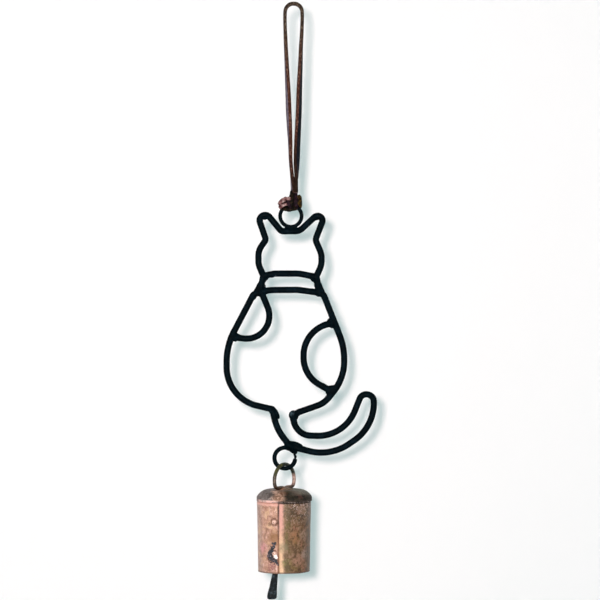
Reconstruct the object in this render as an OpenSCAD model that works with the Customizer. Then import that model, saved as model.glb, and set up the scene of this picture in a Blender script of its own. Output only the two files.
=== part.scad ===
// A hanging iron bell: a figure of a sitting cat, bent from round rod and seen from behind,
// hangs by a leather lace and carries a copper-washed sheet-iron bell with an iron clapper.
// X is to the right, Z is up and the viewer looks along +Y. The origin is the point where the
// lace rests on its hook, and all that hangs is placed downwards from there.

/* [Bent iron figure] */
// Diameter of the black iron rod
rod_d = 3; // [2.4:0.1:3.6]
// Width of the body between the rod's centres
cat_w = 62; // [54:1:72]
// Height from the dip between the ears to the foot of the tail
cat_h = 112.5; // [100:0.5:130]

/* [Rings] */
// Diameter of the top ring at the centre of its wire
top_ring_d = 11.1; // [10:0.1:14]
// Diameter of the top ring's wire
top_ring_wire_d = 1.8; // [1.6:0.1:2.2]
// Sideways offset of the top ring from the hook
frame_x = -1.3; // [-3:0.1:0]
// Diameter of the foot ring at the centre of its wire
foot_ring_d = 10.9; // [10:0.1:13]
// Diameter of the foot ring's wire
foot_ring_wire_d = 2.2; // [1.8:0.1:2.4]

/* [Bail] */
// Width of the bail's round loop at the centre of its wire
bail_w = 16.6; // [15.6:0.1:18]
// Diameter of the bail's wire
bail_wire_d = 1.6; // [1.2:0.1:1.8]
// Turn of the bail's plane about the upright axis
bail_turn = 52; // [50:1:60]
// Height from the centre of the bail's loop down to the crown
bail_foot_drop = 4.8; // [4.2:0.05:5.4]
// Width of the inner loop under the crown at the centre of its wire
inner_loop_w = 5.6; // [5.2:0.1:7]
// Depth of the inner loop's lowest wire under the top of the crown
inner_loop_drop = 9.9; // [9.5:0.1:13]

/* [Bell] */
// Outer diameter of the barrel just under the crown
barrel_d = 28.4; // [26:0.1:32]
// Outer diameter of the barrel at its mouth
mouth_d = 27; // [24:0.1:32]
// Height of the bell from the top of its crown to its mouth
bell_h = 42.9; // [38:0.1:56]
// Thickness of the sheet iron
sheet_t = 0.5; // [0.4:0.05:0.6]
// Outer diameter of the crown's skirt
crown_d = 29.4; // [28:0.1:34]
// Height of the crown with its skirt
crown_h = 6; // [5.4:0.1:8]
// Radius of the crown's rounded shoulder
crown_shoulder_r = 7.1; // [6:0.1:8]
// Angle through which the barrel's sheet laps over itself
lap_angle = 22; // [16:1:30]
// Place of the lap's free edge round the bell, from the +X side
lap_edge_angle = -102.5; // [-180:0.5:180]

/* [Rivets] */
// Diameter of a seam rivet's head
rivet_head_d = 2.4; // [1.8:0.1:3]
// Diameter of a seam rivet's shank
rivet_shank_d = 1.2; // [0.8:0.1:1.6]

/* [Clapper] */
// Length of the clapper from the wire it hangs on to its tip
clapper_l = 49.2; // [44:0.2:54]
// Diameter of the clapper at its flared tip
clapper_tip_d = 5.4; // [3.6:0.1:6]
// Diameter of the clapper above its flare
clapper_shank_d = 3; // [2.4:0.1:3.4]
// Diameter of the clapper's eye at the centre of its wire
clapper_eye_d = 4; // [3.8:0.1:4.6]
// Lean of the clapper at rest
clapper_lean = 10; // [0:0.5:12]

/* [Lace] */
// Width of the flat leather lace
lace_w = 3.4; // [2.8:0.1:4]
// Thickness of the lace
lace_t = 1.25; // [1:0.05:1.4]
// Width of the knot along the ring's wire
knot_w = 8.6; // [7:0.1:9]
// Diameter of the knot round the ring's wire
knot_d = 7; // [6:0.1:8]

/* [Hidden] */

// How finely round forms are drawn
$fn = 48;
fine_fn = 96;

// Clearances and the overrun of every cut
weld_gap = 0.15;
link_clearance = 0.3;
seat_gap = 0.05;
bore_clearance = 0.2;
sheet_gap = 0.05;
rivet_clearance = 0.04;
overrun = 1;

// A rod's straights and bends meet in a ball a little proud of the rod.
// Each stops short of the ball's centre, and a straight shorter than the limit is left to it.
// A corner with no bend radius is a plain kink: two straights that meet in one ball.
knuckle_share = 1.02;
knuckle_gap_share = 0.03;
short_straight_share = 0.25;

// The lace from the knot up its left side, over the hook and down its right side.
// Each row is x, y, z and the turn of the flat lace about the upright axis.
lace_route = [
    [-0.1, -0.25, -98.8, 20], [-0.15, -0.25, -96, 18], [-0.65, -0.1, -90, 4],
    [-1.4, 0, -81.5, 4], [-1.6, 0, -73, 12], [-2, 0, -64.5, 24], [-2.4, 0, -56, 30],
    [-2.7, 0, -48, 27], [-3.1, 0, -39.5, 20], [-3.5, 0, -31, 12], [-3.9, 0, -22.5, 6],
    [-4.25, 0, -14, 2], [-4.4, 0, -8, 0], [-4.35, 0, -4, 0], [-4, 0, -2.1, 0],
    [-3, 0, -0.6, 0], [-1.6, 0, 0.35, 0], [0.1, 0, 0.625, 0], [1.8, 0, 0.35, 0],
    [3.3, 0, -0.6, 0], [4.3, 0, -2.1, 0], [4.6, 0, -4, 0], [4.65, 0, -8, 0],
    [4.45, 0, -14, -2], [4, 0, -22.5, -8], [3.7, 0, -31, -16], [3.35, 0, -39.5, -24],
    [3.05, 0, -48, -31], [2.85, 0, -56, -35], [2.45, 0, -64.5, -40], [2.05, 0, -73, -43],
    [1.75, 0.05, -81.5, -40], [1.6, 0.1, -90, -8], [1.25, 0.25, -96, 16],
    [1.2, 0.25, -98.8, 20]];

// Shape of the lace's section, as shares of half its width and half its thickness
lace_corner_w_share = 0.86;
lace_corner_t_share = 0.5;

// The knot
knot_rise_share = 0.94;
neck_share = 1.12;
neck_x = (lace_route[0].x + lace_route[len(lace_route) - 1].x) / 2;
lace_end_z = lace_route[0].z;

// Heights down the chain
ring_top_z = lace_end_z - knot_d * knot_rise_share;
top_ring_z = ring_top_z - top_ring_d / 2;
dip_z = top_ring_z - top_ring_d / 2 - top_ring_wire_d / 2 - weld_gap - rod_d / 2;

// Places on the figure as shares: x of cat_w, z of cat_h, and bend radius of cat_w.
// x is measured from the top ring and z from the dip between the ears.
neck_left_share = [-0.262, -0.283];
neck_right_share = [0.240, -0.283];
collar_left_share = [-0.233, -0.208];
collar_right_share = [0.216, -0.211];
tail_foot_share = [-0.010, -1.004];

head_shares = [
    [neck_left_share.x, neck_left_share.y, 0], [collar_left_share.x, collar_left_share.y, 0],
    [-0.275, -0.156, 0.16], [-0.275, -0.089, 0.15], [-0.211, -0.040, 0.036],
    [-0.279, 0.068, 0.046], [-0.200, 0.079, 0.046], [-0.082, 0, 0.035],
    [0.073, 0.001, 0.085], [0.220, 0.076, 0.040], [0.279, 0.061, 0.040],
    [0.208, -0.040, 0.050], [0.260, -0.107, 0.15], [0.260, -0.159, 0.16],
    [collar_right_share.x, collar_right_share.y, 0], [neck_right_share.x, neck_right_share.y, 0]];

upper_bar_shares = [[-0.233, -0.210, 0], [-0.15, -0.198, 0.25], [0.07, -0.198, 0.25],
    [0.216, -0.214, 0]];

lower_bar_shares = [[-0.262, -0.286, 0], [-0.18, -0.275, 0.25], [0.06, -0.274, 0.25],
    [0.240, -0.287, 0]];

body_left_shares = [[-0.262, -0.284, 0], [-0.318, -0.296, 0.035], [-0.545, -0.535, 0.56],
    [-0.545, -0.783, 0.335], [-0.157, -0.832, 0]];

body_right_shares = [[0.240, -0.284, 0], [0.280, -0.300, 0.035], [0.452, -0.541, 0.54],
    [0.452, -0.686, 0.40], [0.283, -0.804, 0.20], [0.060, -0.847, 0.045], [0.018, -0.869, 0]];

left_spot_shares = [[-0.250, -0.285, 0], [-0.183, -0.374, 0.2], [-0.183, -0.518, 0.193],
    [-0.471, -0.496, 0]];

right_spot_shares = [[0.339, -0.431, 0], [0.109, -0.460, 0.272], [0.107, -0.676, 0.260],
    [0.334, -0.745, 0]];

tail_shares = [[0.017, -0.872, 0], [0.055, -0.954, 0.150], [0.455, -0.960, 0.335],
    [0.602, -0.758, 0.060], [0.703, -0.768, 0.060], [0.706, -0.914, 0.385],
    [0.336, -1.054, 0.42], [tail_foot_share.x, tail_foot_share.y, 0.045],
    [-0.150, -0.849, 0]];

// The rods' routes. Each end that meets another rod stops short of it.
end_cut = rod_d / 2 + weld_gap;
slant_cut = end_cut + 3 * weld_gap;
deep_cut = slant_cut + weld_gap;
head_route = place(head_shares);
upper_bar_route = shortened(place(upper_bar_shares), end_cut, end_cut);
lower_bar_route = shortened(place(lower_bar_shares), deep_cut + weld_gap, slant_cut);
body_left_route = shortened(place(body_left_shares), deep_cut, 0);
body_right_route = shortened(place(body_right_shares), end_cut, weld_gap);
left_spot_route = shortened(place(left_spot_shares), deep_cut, weld_gap);
right_spot_route = shortened(place(right_spot_shares), 0, weld_gap);
tail_route = shortened(place(tail_shares), end_cut, 0);

// Weld beads: where they sit, and their size as a share of the rod's diameter
upper_collar_bead_shares = [[-0.229, -0.210, 1.3], [0.212, -0.213, 1.3]];
lower_collar_bead_shares = [[-0.262, -0.286, 1.9], [-0.2645, -0.2513, 1.2],
    [-0.296, -0.278, 1.2], [0.238, -0.288, 1.6]];
left_spot_bead_shares = [[-0.486, -0.496, 1.3]];
right_spot_bead_shares = [[0.349, -0.430, 1.35], [0.338, -0.746, 1.55],
    [0.334, -0.7635, 1.1]];
rump_bead_shares = [[0.023, -0.860, 1.8], [-0.154, -0.842, 1.4]];
foot_bead_shares = [[-0.010, -1.003, 1.9], [0.030, -0.9965, 1.2]];
eye_bead_shares = [[-0.028, 0.027, 0.8], [0, 0.024, 0.9], [0.028, 0.027, 0.8]];

// The foot ring hangs under the foot of the tail, a little to its left
foot_ring_shift_share = 0.235;
foot_ring_sink_share = 0.4;
foot_x = frame_x + cat_w * tail_foot_share.x;
foot_z = dip_z + cat_h * tail_foot_share.y;
foot_ring_x = foot_x - foot_ring_d * foot_ring_shift_share;
foot_ring_z = foot_z - foot_ring_d / 2 - foot_ring_wire_d * foot_ring_sink_share;
foot_ring_start = 94;
foot_ring_end = 352;
drip_start = 44;
drip_end = -4;
drip_wire_share = 0.6;

// The bail and the bell hang on the foot ring's lowest wire
bail_offset_share = -0.025;
swing_z = foot_ring_z - foot_ring_d / 2;
bell_x = foot_ring_x + foot_ring_d * bail_offset_share;
bail_top_z = swing_z + foot_ring_wire_d / 2 + bail_wire_d / 2 + link_clearance;
bail_z = bail_top_z - bail_w / 2;
crown_z = bail_z - bail_foot_drop;

// The bail's loop is round between two legs that fold in along the crown to its middle
bail_arc_end = -12;
bail_corner_half = (90 - bail_arc_end) / 3;
bail_corner_r = bail_w / 2 / cos(bail_corner_half);
bail_corner = [for (k = [2, 0, -2]) [bail_corner_r * cos(90 + k * bail_corner_half),
    bail_corner_r * sin(90 + k * bail_corner_half), bail_w / 2]];
bail_foot_z = -bail_foot_drop + bail_wire_d / 2 + seat_gap;
bail_foot_x = bail_corner[2].x + (bail_corner[2].y - bail_foot_z) * tan(bail_arc_end);
bail_foot_bend_share = 1;
bail_neck_x = bail_wire_d / 2 + seat_gap;
bail_neck_bend_share = 0.75;
inner_loop_z = -bail_foot_drop - inner_loop_drop;
inner_loop_top_share = 0.72;
inner_loop_flare_share = 0.42;
inner_loop_end_share = 0.60;

bail_route = concat(
    [[inner_loop_w / 2, inner_loop_z + inner_loop_w * inner_loop_end_share, 0],
        [inner_loop_w / 2, inner_loop_z, inner_loop_w / 2],
        [-inner_loop_w / 2, inner_loop_z, inner_loop_w / 2],
        [-inner_loop_w / 2, inner_loop_z + inner_loop_w * inner_loop_top_share,
            bail_wire_d * bail_neck_bend_share],
        [-bail_neck_x, inner_loop_z + inner_loop_w * (inner_loop_top_share + inner_loop_flare_share),
            bail_wire_d * bail_neck_bend_share],
        [-bail_neck_x, bail_foot_z, bail_wire_d * bail_neck_bend_share],
        [-bail_foot_x, bail_foot_z, bail_wire_d * bail_foot_bend_share]],
    bail_corner,
    [[bail_foot_x, bail_foot_z, bail_wire_d * bail_foot_bend_share],
        [bail_neck_x, bail_foot_z, bail_wire_d * bail_neck_bend_share],
        [bail_neck_x, inner_loop_z + inner_loop_w * (inner_loop_top_share + inner_loop_flare_share),
            bail_wire_d * bail_neck_bend_share],
        [inner_loop_w / 2, inner_loop_z + inner_loop_w * inner_loop_top_share, 0]]);

// The braze that holds the bail to the crown
braze_d_share = 0.30;
braze_h_share = 0.9;
crown_hole_d = 2 * (bail_neck_x + bail_wire_d * bail_neck_bend_share);

// The bell's sheet: the barrel is two half turns about centres half a lap step apart
lap_step = sheet_t + sheet_gap;
crown_skirt_share = 0.33;
crown_shoulder_drop = crown_h * (1 - crown_skirt_share);
crown_flat_r = crown_d / 2 - sqrt(pow(crown_shoulder_r, 2)
    - pow(crown_shoulder_r - crown_shoulder_drop, 2));
barrel_neck_z = -crown_h - sheet_gap;
barrel_shoulder_z = barrel_neck_z - sheet_t;
barrel_top_z = -crown_shoulder_drop - sheet_t;
barrel_neck_d = crown_d - 2 * sheet_t - 2 * lap_step - 2 * sheet_gap;

barrel_slope = (barrel_d - mouth_d) / 2 / (bell_h + barrel_shoulder_z);

// Seam rivets: their place back from the lap's free edge and down the bell
rivet_back_share = 0.38;
rivet_height_shares = [0.37, 0.755];
rivet_dome_share = 0.32;

// The clapper's profile, as shares of its length and of its tip's diameter
clapper_neck_share = 0.62;
clapper_flare_share = 0.76;
clapper_tip_round_share = 0.9;
clapper_tip_h_share = 0.025;
clapper_eye_wire_share = 0.38;
clapper_eye_wire_d = clapper_eye_d * clapper_eye_wire_share;
clapper_eye_z = -(clapper_eye_d / 2 - clapper_eye_wire_d / 2 - bail_wire_d / 2 - link_clearance);

// Loose parts of the knot, as shares of the knot's and the lace's sizes
tail_turn = 28;
tail_out_share = 0.46;
tail_front_share = 0.95;
tail_rise_share = 0.33;
tail_length_share = 1.5;
tail_gap_share = 0.25;
bight_out_share = 0.47;
bight_front_share = 0.34;
bight_up_share = 0.18;
bight_d_share = 0.52;

// A rod's route is a list of corner points, each x, z and the radius of its bend
function leg(p, i) = [p[i + 1].x - p[i].x, p[i + 1].y - p[i].y];
function turn(p, i) = let (u = leg(p, i - 1), v = leg(p, i))
    atan2(u.x * v.y - u.y * v.x, u.x * v.x + u.y * v.y);
function heading(p, i) = let (u = leg(p, i)) atan2(u.y, u.x);
function trim(p, i) = i == 0 || i == len(p) - 1 ? 0 : p[i].z * tan(abs(turn(p, i)) / 2);
function straight_length(p, i) = norm(leg(p, i)) - trim(p, i) - trim(p, i + 1);
function place(shares) = [for (s = shares)
    [cat_w * s.x, cat_h * s.y, len(s) > 2 ? cat_w * s.z : 0]];

// Cuts a route's two end legs back, so that the rod stops short of what it is welded to
function shortened(p, start_cut, end_cut) = let (n = len(p), u = leg(p, 0) / norm(leg(p, 0)),
    v = leg(p, n - 2) / norm(leg(p, n - 2)))
    [for (i = [0 : n - 1]) i == 0 ? [p[0].x + u.x * start_cut, p[0].y + u.y * start_cut, 0]
        : i == n - 1 ? [p[i].x - v.x * end_cut, p[i].y - v.y * end_cut, 0] : p[i]];

// A knuckle's poles lie on the rod's axis, inside the rod
module knuckle(x, d) translate([x, 0, 0]) rotate([0, 90, 0]) sphere(d = d * knuckle_share);

module straight(p, i, d) {
    length = straight_length(p, i);
    start_gap = i == 0 ? 0 : d * knuckle_gap_share;
    end_gap = i == len(p) - 2 ? 0 : d * knuckle_gap_share;
    translate([p[i].x, p[i].y, 0]) rotate([0, 0, heading(p, i)]) {
        if (length > d * short_straight_share) {
            translate([trim(p, i) + start_gap, 0, 0]) rotate([0, 90, 0])
                cylinder(h = length - start_gap - end_gap, d = d);
            if (i > 0) knuckle(trim(p, i), d);
            if (i < len(p) - 2 && p[i + 1].z > 0) knuckle(trim(p, i) + length, d);
        } else {
            knuckle(trim(p, i) + length / 2, d);
        }
    }
}

module bend(p, i, d) {
    angle = turn(p, i);
    side = sign(angle);
    gap_angle = d * knuckle_gap_share / p[i].z * 180 / PI;
    translate([p[i].x, p[i].y, 0]) rotate([0, 0, heading(p, i - 1)])
        translate([-trim(p, i), side * p[i].z, 0])
            rotate([0, 0, side > 0 ? gap_angle - 90 : 90 + angle + gap_angle])
                rotate_extrude(angle = abs(angle) - 2 * gap_angle)
                    translate([p[i].z, 0]) circle(d = d);
}

// Round rod or wire along a flat route, standing in the XZ plane
module rod(p, d) {
    rotate([90, 0, 0]) {
        for (i = [0 : len(p) - 2]) straight(p, i, d);
        for (i = [1 : len(p) - 2]) if (p[i].z > 0) bend(p, i, d);
    }
}

module in_figure() translate([frame_x, 0, dip_z]) children();

module figure_rod(route) color("#23282c") in_figure() rod(route, rod_d);

module wire_ring(d, wire_d) {
    rotate([90, 0, 0]) rotate_extrude($fn = fine_fn) translate([d / 2, 0]) circle(d = wire_d);
}

module wire_arc(d, wire_d, start, end) {
    rotate([90, 0, 0]) rotate([0, 0, start]) rotate_extrude(angle = end - start)
        translate([d / 2, 0]) circle(d = wire_d);
}

// The lace's section sides: across is its flat width and thick its thickness
function lace_across(a) = [-sin(a), cos(a), 0];
function unit(v) = v / norm(v);
function lace_point(i) = [lace_route[i].x, lace_route[i].y, lace_route[i].z];
function lace_along(i) = i == 0 || i == len(lace_route) - 1 ? [0, 0, i == 0 ? 1 : -1]
    : unit(lace_point(i + 1) - lace_point(i - 1));
function lace_ring(i) = let (across = lace_across(lace_route[i][3]),
    thick = unit(cross(lace_along(i), across)),
    w = lace_w / 2, t = lace_t / 2, cw = w * lace_corner_w_share, ct = t * lace_corner_t_share)
    [for (c = [[w, -ct], [w, ct], [cw, t], [-cw, t], [-w, ct], [-w, -ct], [-cw, -t], [cw, -t]])
        lace_point(i) + c.x * across + c.y * thick];

module hanging_lace() {
    rings = len(lace_route);
    sides = len(lace_ring(0));
    color("saddlebrown") polyhedron(
        points = [for (i = [0 : rings - 1]) each lace_ring(i)],
        faces = concat([[for (k = [0 : sides - 1]) k]],
            [for (i = [0 : rings - 2]) for (k = [0 : sides - 1]) for (half = [0, 1])
                let (next = (k + 1) % sides, a = i * sides + k, b = i * sides + next)
                half == 0 ? [a, a + sides, b + sides] : [a, b + sides, b]],
            [[for (k = [sides - 1 : -1 : 0]) (rings - 1) * sides + k]]));
}

// Space round the top ring's wire: the ring turns in it about its highest point
module knot_bore() {
    translate([frame_x, 0, ring_top_z]) rotate([0, 90, 0]) rotate_extrude($fn = fine_fn)
        difference() {
            translate([0, -knot_w]) square([top_ring_d / 2, 2 * knot_w]);
            translate([top_ring_d / 2, 0])
                circle(d = top_ring_d - top_ring_wire_d - 2 * bore_clearance);
        }
}

module lace_knot() {
    color("saddlebrown") difference() {
        union() {
            translate([frame_x, 0, ring_top_z]) rotate([0, 90, 0]) rotate_extrude($fn = fine_fn)
                intersection() {
                    circle(d = knot_w);
                    translate([0, -knot_w]) square([knot_d / 2, 2 * knot_w]);
                }
            translate([neck_x, 0, ring_top_z]) cylinder(h = lace_end_z - ring_top_z,
                d = lace_w * neck_share);
            translate([frame_x + knot_w * bight_out_share, -knot_d * bight_front_share,
                ring_top_z + knot_d * bight_up_share]) sphere(d = knot_d * bight_d_share);
        }
        knot_bore();
    }
}

// The lace's two cut ends, one over the other in front of the knot on the left
module lace_ends() {
    color("rosybrown") difference() {
        for (side = [-1, 1])
            translate([frame_x - knot_w / 2 * tail_out_share, -knot_d / 2 * tail_front_share,
                ring_top_z + knot_d * tail_rise_share]) rotate([0, -tail_turn, 0])
                translate([-lace_w * tail_length_share, -lace_w / 2,
                    side * lace_t * (1 + tail_gap_share) / 2 - lace_t / 2])
                    cube([lace_w * tail_length_share, lace_w, lace_t]);
        translate([frame_x, 0, ring_top_z]) sphere(d = knot_w + 2 * bore_clearance);
    }
}

module top_ring() {
    color("dimgray") translate([frame_x, 0, top_ring_z]) wire_ring(top_ring_d, top_ring_wire_d);
}

module head_wire() figure_rod(head_route);

module collar_upper_bar() figure_rod(upper_bar_route);

module collar_lower_bar() figure_rod(lower_bar_route);

module body_left_wire() figure_rod(body_left_route);

module body_right_wire() figure_rod(body_right_route);

module left_spot_wire() figure_rod(left_spot_route);

module right_spot_wire() figure_rod(right_spot_route);

module tail_wire() figure_rod(tail_route);

module bead(share) {
    in_figure() translate([cat_w * share.x, 0, cat_h * share.y]) sphere(d = rod_d * share.z);
}

// Beads of weld metal, fused over the ends of the rods that they join
module collar_welds() {
    color("#1c2125") {
        for (share = upper_collar_bead_shares) bead(share);
        for (share = lower_collar_bead_shares) bead(share);
    }
}

module body_welds() {
    color("#1c2125") {
        for (share = left_spot_bead_shares) bead(share);
        for (share = right_spot_bead_shares) bead(share);
        for (share = rump_bead_shares) bead(share);
    }
}

module foot_ring() {
    color("dimgray") translate([foot_ring_x, 0, foot_ring_z])
        wire_arc(foot_ring_d, foot_ring_wire_d, foot_ring_start, foot_ring_end);
}

// The beads under the top ring, and the bead on the tail's foot with the drip that runs from it
module ring_welds() {
    color("#1c2125") {
        for (share = eye_bead_shares) bead(share);
        for (share = foot_bead_shares) bead(share);
        translate([foot_ring_x, 0, foot_ring_z]) wire_arc(foot_ring_d,
            foot_ring_wire_d * drip_wire_share, drip_end, drip_start);
    }
}

module in_bail() translate([bell_x, 0, bail_z]) rotate([0, 0, bail_turn]) children();

module bell_bail() color("#a8795f") in_bail() rod(bail_route, bail_wire_d);

module bail_braze() {
    color("#b98a6a") difference() {
        translate([bell_x, 0, crown_z]) cylinder(h = bail_wire_d * braze_h_share,
            d1 = crown_d * braze_d_share, d2 = bail_wire_d);
        bell_bail();
    }
}

module crown_outline(inset) {
    intersection() {
        union() {
            translate([0, -crown_h]) square([crown_flat_r, crown_h - inset]);
            translate([crown_flat_r, -crown_shoulder_r]) circle(r = crown_shoulder_r - inset);
            translate([0, -crown_h])
                square([crown_d / 2 - inset, crown_h - crown_shoulder_drop]);
        }
        translate([0, -crown_h]) square([crown_d / 2 - inset, crown_h]);
    }
}

module bell_crown() {
    color("#8f6f5c") translate([bell_x, 0, crown_z]) difference() {
        rotate_extrude($fn = fine_fn) difference() {
            crown_outline(0);
            crown_outline(sheet_t);
            translate([0, -crown_h - overrun])
                square([crown_d / 2 - sheet_t, crown_h - crown_shoulder_drop + overrun]);
        }
        translate([0, 0, -sheet_t - overrun])
            cylinder(h = sheet_t + 2 * overrun, d = crown_hole_d);
    }
}

// Section of the barrel's sheet: a neck under the crown's skirt, then the tapering wall
module barrel_section() {
    polygon([[mouth_d / 2, -bell_h], [barrel_d / 2, barrel_shoulder_z],
        [barrel_neck_d / 2, barrel_neck_z], [barrel_neck_d / 2, barrel_top_z],
        [barrel_neck_d / 2 - sheet_t, barrel_top_z], [barrel_neck_d / 2 - sheet_t, barrel_neck_z],
        [barrel_d / 2 - sheet_t, barrel_shoulder_z], [mouth_d / 2 - sheet_t, -bell_h]]);
}

module in_barrel() translate([bell_x, 0, crown_z]) rotate([0, 0, lap_edge_angle + 180]) children();

// The wall's outer radius at a depth under the top of the crown
function barrel_wall_r(depth) = barrel_d / 2 - barrel_slope * (depth + barrel_shoulder_z);

// Places a rivet on the lap, with +Z straight out of the sheet's outer face
module at_rivets() {
    for (share = rivet_height_shares)
        translate([-lap_step / 2, 0, -bell_h * share])
            rotate([0, 0, 180 - lap_angle * rivet_back_share])
                translate([barrel_wall_r(bell_h * share) + lap_step / 2, 0, 0])
                    rotate([0, 90 + atan(barrel_slope), 0]) children();
}

module bell_barrel() {
    color("#b07d66") in_barrel() difference() {
        union() {
            mirror([0, 1, 0]) rotate_extrude(angle = 180 + lap_angle, $fn = fine_fn)
                barrel_section();
            translate([-lap_step / 2, 0, 0]) rotate_extrude(angle = 180, $fn = fine_fn)
                translate([lap_step / 2, 0]) barrel_section();
        }
        at_rivets() cylinder(h = 8 * sheet_t, d = rivet_shank_d + 2 * rivet_clearance,
            center = true);
    }
}

module seam_rivet() {
    shank_l = 2 * lap_step + 2 * sheet_gap;
    translate([0, 0, sheet_gap]) {
        for (side = [0, 1]) translate([0, 0, -side * shank_l]) mirror([0, 0, side])
            intersection() {
                translate([0, 0, rivet_head_d * rivet_dome_share - rivet_head_d / 2])
                    sphere(d = rivet_head_d);
                cylinder(h = rivet_head_d, d = rivet_head_d);
            }
        translate([0, 0, -shank_l - sheet_gap]) cylinder(h = shank_l + 2 * sheet_gap,
            d = rivet_shank_d);
    }
}

module seam_rivets() {
    color("#9a6c58") in_barrel() at_rivets() seam_rivet();
}

module clapper() {
    tip_z = -clapper_l;
    color("#3a434b") in_bail() translate([0, 0, inner_loop_z]) rotate([clapper_lean, 0, 0]) {
        translate([0, 0, clapper_eye_z]) rotate([0, 90, 0]) rotate_extrude($fn = fine_fn)
            translate([clapper_eye_d / 2, 0]) circle(d = clapper_eye_wire_d);
        rotate_extrude($fn = fine_fn) polygon([
            [0, clapper_eye_z - clapper_eye_d / 2],
            [clapper_shank_d / 2 * clapper_neck_share, clapper_eye_z - clapper_eye_d / 2],
            [clapper_shank_d / 2, tip_z * clapper_flare_share],
            [clapper_tip_d / 2, tip_z * (1 - clapper_tip_h_share)],
            [clapper_tip_d / 2 * clapper_tip_round_share, tip_z * (1 - clapper_tip_h_share / 2)],
            [0, tip_z]]);
    }
}

hanging_lace();
lace_knot();
lace_ends();
top_ring();
head_wire();
collar_upper_bar();
collar_lower_bar();
body_left_wire();
body_right_wire();
left_spot_wire();
right_spot_wire();
tail_wire();
collar_welds();
body_welds();
ring_welds();
foot_ring();
bell_bail();
bail_braze();
bell_crown();
bell_barrel();
seam_rivets();
clapper();
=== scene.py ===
from math import acos, atan2, cos, hypot, pi, radians, sin, sqrt, tan

import bmesh
import bpy
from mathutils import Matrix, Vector, noise


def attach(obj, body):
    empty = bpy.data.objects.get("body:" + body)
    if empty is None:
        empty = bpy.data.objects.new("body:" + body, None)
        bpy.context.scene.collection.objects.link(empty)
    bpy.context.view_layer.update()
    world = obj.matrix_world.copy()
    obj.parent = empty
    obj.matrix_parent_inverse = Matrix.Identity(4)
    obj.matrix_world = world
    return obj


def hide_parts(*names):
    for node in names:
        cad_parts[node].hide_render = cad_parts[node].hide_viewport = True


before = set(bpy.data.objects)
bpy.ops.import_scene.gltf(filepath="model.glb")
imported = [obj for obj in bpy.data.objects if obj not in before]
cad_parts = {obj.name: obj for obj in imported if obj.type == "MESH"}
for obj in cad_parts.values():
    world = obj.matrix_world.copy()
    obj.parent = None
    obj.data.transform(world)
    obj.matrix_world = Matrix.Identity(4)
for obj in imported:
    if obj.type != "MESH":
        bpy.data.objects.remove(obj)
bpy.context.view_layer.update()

# Sizes are in millimetres, in the frame's own axes, and are scaled as meshes are made
MM = 0.001
ROD_D = 3.45
CAT_W, CAT_H = 62, 112.5
FRAME_X, DIP_Z = -1.3, -119.03
TOP_RING_D, RING_TOP_Z = 11.3, -105.38
TOP_RING = (FRAME_X, RING_TOP_Z - TOP_RING_D / 2, TOP_RING_D)
FOOT_RING = (-4.4815, -238.31, 10.9)
BELL_X, BELL_H = -4.754, 42.9
BAIL_Z, CROWN_Z, PIVOT_Z = -249.86, -254.66, -264.56
BAIL_TURN = radians(52)
LAP_START = radians(-102.5)
Y_AXIS = Vector((0, 1, 0))
CAMERA = Vector((3.5, -1100, -155.2))
PX_MM, ORIGIN_PX = 0.526, (293.4, 5)   # the photograph's scale, and the frame's origin in it
scene = bpy.context.scene


def added(name, data):
    made = bpy.data.objects.new(name, data)
    scene.collection.objects.link(made)
    return made


# ---- the camera

scene.view_settings.view_transform = "Standard"
camera = added("view_camera", bpy.data.cameras.new("view_camera"))
camera.location = CAMERA * MM
camera.rotation_euler = (radians(90), 0, 0)
camera.data.sensor_width = 36
camera.data.lens = 125.5
camera.data.clip_start = 0.01
scene.camera = camera


# ---- mesh building

def wobble(p, size, seed=0):
    """Smooth noise from about -1 to 1 at a point, for bumps of that size."""
    return noise.noise(Vector((p[0] / size + seed, p[1] / size - seed, p[2] / size + 2 * seed)))


def finish_piece(name, bm, body, slot, materials, nodes=(), sharp=50):
    """Turns a bmesh in millimetres into a piece that rides on its body."""
    bmesh.ops.recalc_face_normals(bm, faces=bm.faces)
    mesh = bpy.data.meshes.new(name)
    bmesh.ops.scale(bm, vec=(MM, MM, MM), verts=bm.verts)
    bm.to_mesh(mesh)
    bm.free()
    mesh.shade_smooth()
    mesh.set_sharp_from_angle(angle=radians(sharp))
    for material in materials:
        mesh.materials.append(material)
    piece = added(name, mesh)
    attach(piece, body)
    if nodes:
        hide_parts(*nodes)
    return piece


def skin(bm, a, b, closed=True):
    """Faces between two rings, or two open columns, of points."""
    count = len(a)
    return [bm.faces.new((a[k], a[(k + 1) % count], b[(k + 1) % count], b[k]))
            for k in range(count if closed else count - 1)]


def in_figure(x, z):
    """A place given in thousandths of the figure's width and height."""
    return FRAME_X + CAT_W * (x / 1000), DIP_Z + CAT_H * (z / 1000)


def bent(shares, step):
    """Points along a rod. Its corners are in thousandths of the figure's width and height."""
    return bent_wire([(*in_figure(x, z), CAT_W * (r / 1000)) for x, z, r in shares], step)


def bent_wire(corners, step):
    """Points along a flat route of straights and round bends."""
    points = []
    for i, (x, z, r) in enumerate(corners):
        here = Vector((x, z))
        if i in (0, len(corners) - 1) or r <= 0:
            points.append(here)
            continue
        a = (Vector(corners[i - 1][:2]) - here).normalized()
        b = (Vector(corners[i + 1][:2]) - here).normalized()
        half = a.angle(b) / 2
        trim = r / tan(half)
        centre = here + (a + b).normalized() * (r / sin(half))
        start, end = here + a * trim - centre, here + b * trim - centre
        angle = start.angle_signed(end)
        count = max(3, int(r * abs(angle) / step))
        for k in range(count + 1):
            t = -angle * k / count
            points.append(centre + Vector((start.x * cos(t) - start.y * sin(t),
                                           start.x * sin(t) + start.y * cos(t))))
    return [Vector((p.x, 0, p.y)) for p in resampled(points, step)]


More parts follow.
